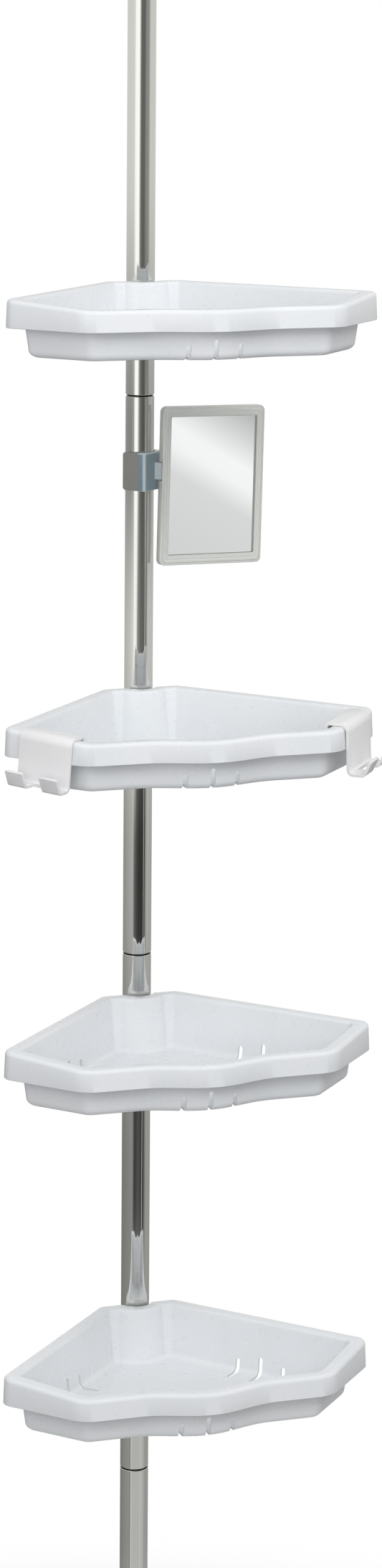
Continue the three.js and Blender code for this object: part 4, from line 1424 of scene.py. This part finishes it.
@dataclass
class Studio:
    """Pale floor, soft light and the camera at the photograph's angle.

    The room that shiny surfaces see is given by level, in degrees above the horizon, with stops of degrees
    round the pole and brightness. The pane is a narrow bright strip in it, placed in degrees, for the mirror.
    """

    floor_radius: float = 900.0
    floor_drop: float = 0.5
    floor_fade: Pair = (350.0, 882.0)
    focal: float = 5640.9  # Pixels
    rows: float = 2187.0  # Pixels
    sensor: float = 36.0
    view_reach: float = 50.0  # Metres
    camera: Triple = (-1052.6, -3402.5, 1795.7)
    pitch: float = 5.28  # Degrees, like the next two
    yaw: float = 17.91
    roll: float = 0.38
    shift: float = -0.30  # Share of the picture's height
    soft_colour: str = "#fdfdff"
    light: Pair = (0.31, 0.57)  # Below and above
    light_blend: float = 0.2
    warmth: float = 0.97
    pane_angle: float = 33.2
    pane_level: float = -7.8
    pane_half: float = 1.9
    pane_slant: float = 1.6
    pane_reach: float = 2.5
    pane_top: Pair = (-6.5, -5.6)
    pane_stops: tuple[Pair, ...] = (
        (0.0, 0.76), (0.39, 0.85), (0.47, 1.12), (0.53, 1.14), (0.61, 0.86), (0.72, 0.52),
    )
    room_bands: tuple[tuple[float, tuple[Pair, ...]], ...] = (
        (-3.0, ((-180, 0.72), (-75, 0.80), (-62, 1.20), (-34, 1.25), (-26, 0.50), (-18, 0.16), (8, 0.14),
                (22, 0.30), (42, 0.32), (60, 0.72), (165, 0.70))),
        (-7.0, ((-180, 0.34), (-90, 0.28), (-66, 0.42), (-56, 1.20), (-36, 1.25), (-27, 0.50), (-14, 0.17),
                (12, 0.09), (28, 0.20), (48, 0.24), (62, 0.42), (165, 0.44))),
        (-10.0, ((-180, 0.50), (-90, 0.68), (-62, 0.85), (-54, 1.15), (-38, 1.05), (-26, 0.30), (0, 0.16),
                 (30, 0.15), (46, 0.26), (60, 0.66), (165, 0.58))),
        (-13.0, ((-180, 0.28), (-100, 0.42), (-54, 0.50), (-46, 0.18), (-30, 0.09), (-6, 0.04), (40, 0.04),
                 (52, 0.34), (66, 0.50), (165, 0.36))),
        (-17.5, ((-180, 0.22), (-120, 0.24), (-46, 0.30), (-36, 0.10), (-26, 0.05), (0, 0.10), (40, 0.04),
                 (46, 0.08), (60, 0.24), (72, 0.38), (165, 0.34))),
        (-21.0, ((-180, 0.20), (-120, 0.28), (-60, 0.34), (-52, 0.22), (-44, 0.68), (-34, 0.55), (58, 0.55),
                 (72, 0.40), (165, 0.32))),
    )
    lamps: tuple[SoftBox, ...] = (
        SoftBox("front_soft_box", (0.8, -2.2, 3.2), (0, -0.1, 1.1), (2.4, 1.8), 41),
        SoftBox("left_fill", (-1.2, -2.2, 1.9), (0, -0.1, 1.3), (1.6, 1.6), 22),
        SoftBox("back_fill", (0.3, 3.6, 1.1), (0, -0.1, 1.1), (1.6, 1.6), 40),
    )

    def place_camera(self) -> None:
        """Makes the camera. The upright walls of the object ask for the shift."""
        data = bpy.data.cameras.new("camera")
        data.sensor_width = self.sensor
        data.lens = self.focal / self.rows * self.sensor
        data.shift_y = self.shift
        data.clip_end = self.view_reach
        camera = bpy.data.objects.new("camera", data)
        bpy.context.scene.collection.objects.link(camera)
        matrix = at(*(Vector(self.camera) * MM)) @ turned(-self.yaw, "Z")
        camera.matrix_world = matrix @ turned(90 - self.pitch, "X") @ turned(self.roll, "Z")
        bpy.context.scene.camera = camera

    def lay_floor(self) -> None:
        """Makes a round floor that keeps the object's shadow and fades into the white surroundings."""
        deselect()
        bpy.ops.mesh.primitive_circle_add(vertices=96, radius=self.floor_radius * MM, fill_type="NGON",
                                          location=(0, 0, -self.floor_drop * MM))
        floor = bpy.context.object
        floor.name = "floor"
        floor.data.materials.append(FadingFloor("pale_floor", "#dededd", *self.floor_fade).make())

    def light_world(self) -> None:
        """Even white surroundings, and the room that only shiny surfaces see."""
        world = bpy.data.worlds.new("studio")
        bpy.context.scene.world = world
        world.use_nodes = True
        nodes = Nodes(world.node_tree)
        ray = nodes.add("NodeLightPath", {}, {}).outputs
        way = nodes.add("NodeSeparateXYZ", {}, {0: nodes.places("Generated")}).outputs
        level = nodes.share(way[2], -self.light_blend, self.light_blend, True, self.light)
        soft = nodes.background(srgb(self.soft_colour), level)
        lit = nodes.mixed_shader(ray["Is Glossy Ray"], soft, nodes.background(self.room(nodes, *way)))
        through = nodes.number("MAXIMUM", ray["Is Camera Ray"], ray["Is Transmission Ray"])
        seen = nodes.mixed_shader(through, lit, nodes.background((1, 1, 1, 1)))
        nodes.add("NodeOutputWorld", {}, {"Surface": seen})

    def room(self, nodes: Nodes, x: Socket, y: Socket, z: Socket) -> Socket:
        """Colour of the room by direction: upright bands, other ones for each level, and the bright pane."""
        angle = nodes.number("ARCTAN2", x, nodes.number("MULTIPLY", y, -1.0))
        around = nodes.share(angle, -math.pi, math.pi)
        colour, previous = None, 0.0
        for level, stops in self.room_bands:
            height = math.sin(math.radians(level))
            bands = nodes.greys(around, [((degree + 180) / 360, grey) for degree, grey in stops], self.warmth)
            if colour is None:
                colour = bands
            else:
                colour = nodes.mixed(nodes.share(z, previous, height, smooth=True), colour, bands)
            previous = height
        return nodes.mixed(self.pane_mask(nodes, angle, z), colour, self.pane_colour(nodes, x, z))

    def pane_mask(self, nodes: Nodes, angle: Socket, height: Socket) -> Socket:
        """Where the bright pane is: a narrow upright strip, below a level."""
        away = nodes.number("ABSOLUTE", nodes.number("SUBTRACT", angle, math.radians(self.pane_angle)))
        strip = nodes.share(away, math.radians(self.pane_half), math.radians(self.pane_half / 2), smooth=True)
        low, high = (math.sin(math.radians(level)) for level in self.pane_top)
        return nodes.number("MULTIPLY", strip, nodes.share(height, high, low, smooth=True))

    def pane_colour(self, nodes: Nodes, x: Socket, z: Socket) -> Socket:
        """The pane's slanting light: dimmer towards the upper right and the lower left of the mirror."""
        angle, slant, degree = math.radians(self.pane_angle), math.radians(self.pane_slant), math.radians(1.0)
        across = nodes.number("MULTIPLY_ADD", x, 1 / (slant * math.cos(angle)), -math.tan(angle) / slant)
        along = nodes.number("MULTIPLY_ADD", z, 1 / degree, across)
        middle = math.radians(self.pane_level) / degree
        share = nodes.share(along, middle - self.pane_reach, middle + self.pane_reach)
        return nodes.greys(share, self.pane_stops)

    def build(self) -> None:
        """Makes the whole studio."""
        self.place_camera()
        self.lay_floor()
        self.light_world()
        for lamp in self.lamps:
            lamp.hang()
        bpy.context.scene.view_settings.view_transform = "Standard"
        log.info("studio: camera, floor, world and lamps")


def main() -> None:
    """Builds every sub-assembly in order and the studio."""
    logging.basicConfig(level=logging.INFO, format="%(message)s")
    finishes = Finishes()
    for part in (Pole, Feet, Telescope, Trays, DoubleHooks, Mirror, MirrorClip):
        part(finishes).build()
    Studio().build()
    deselect()


if __name__ == "__main__":
    main()
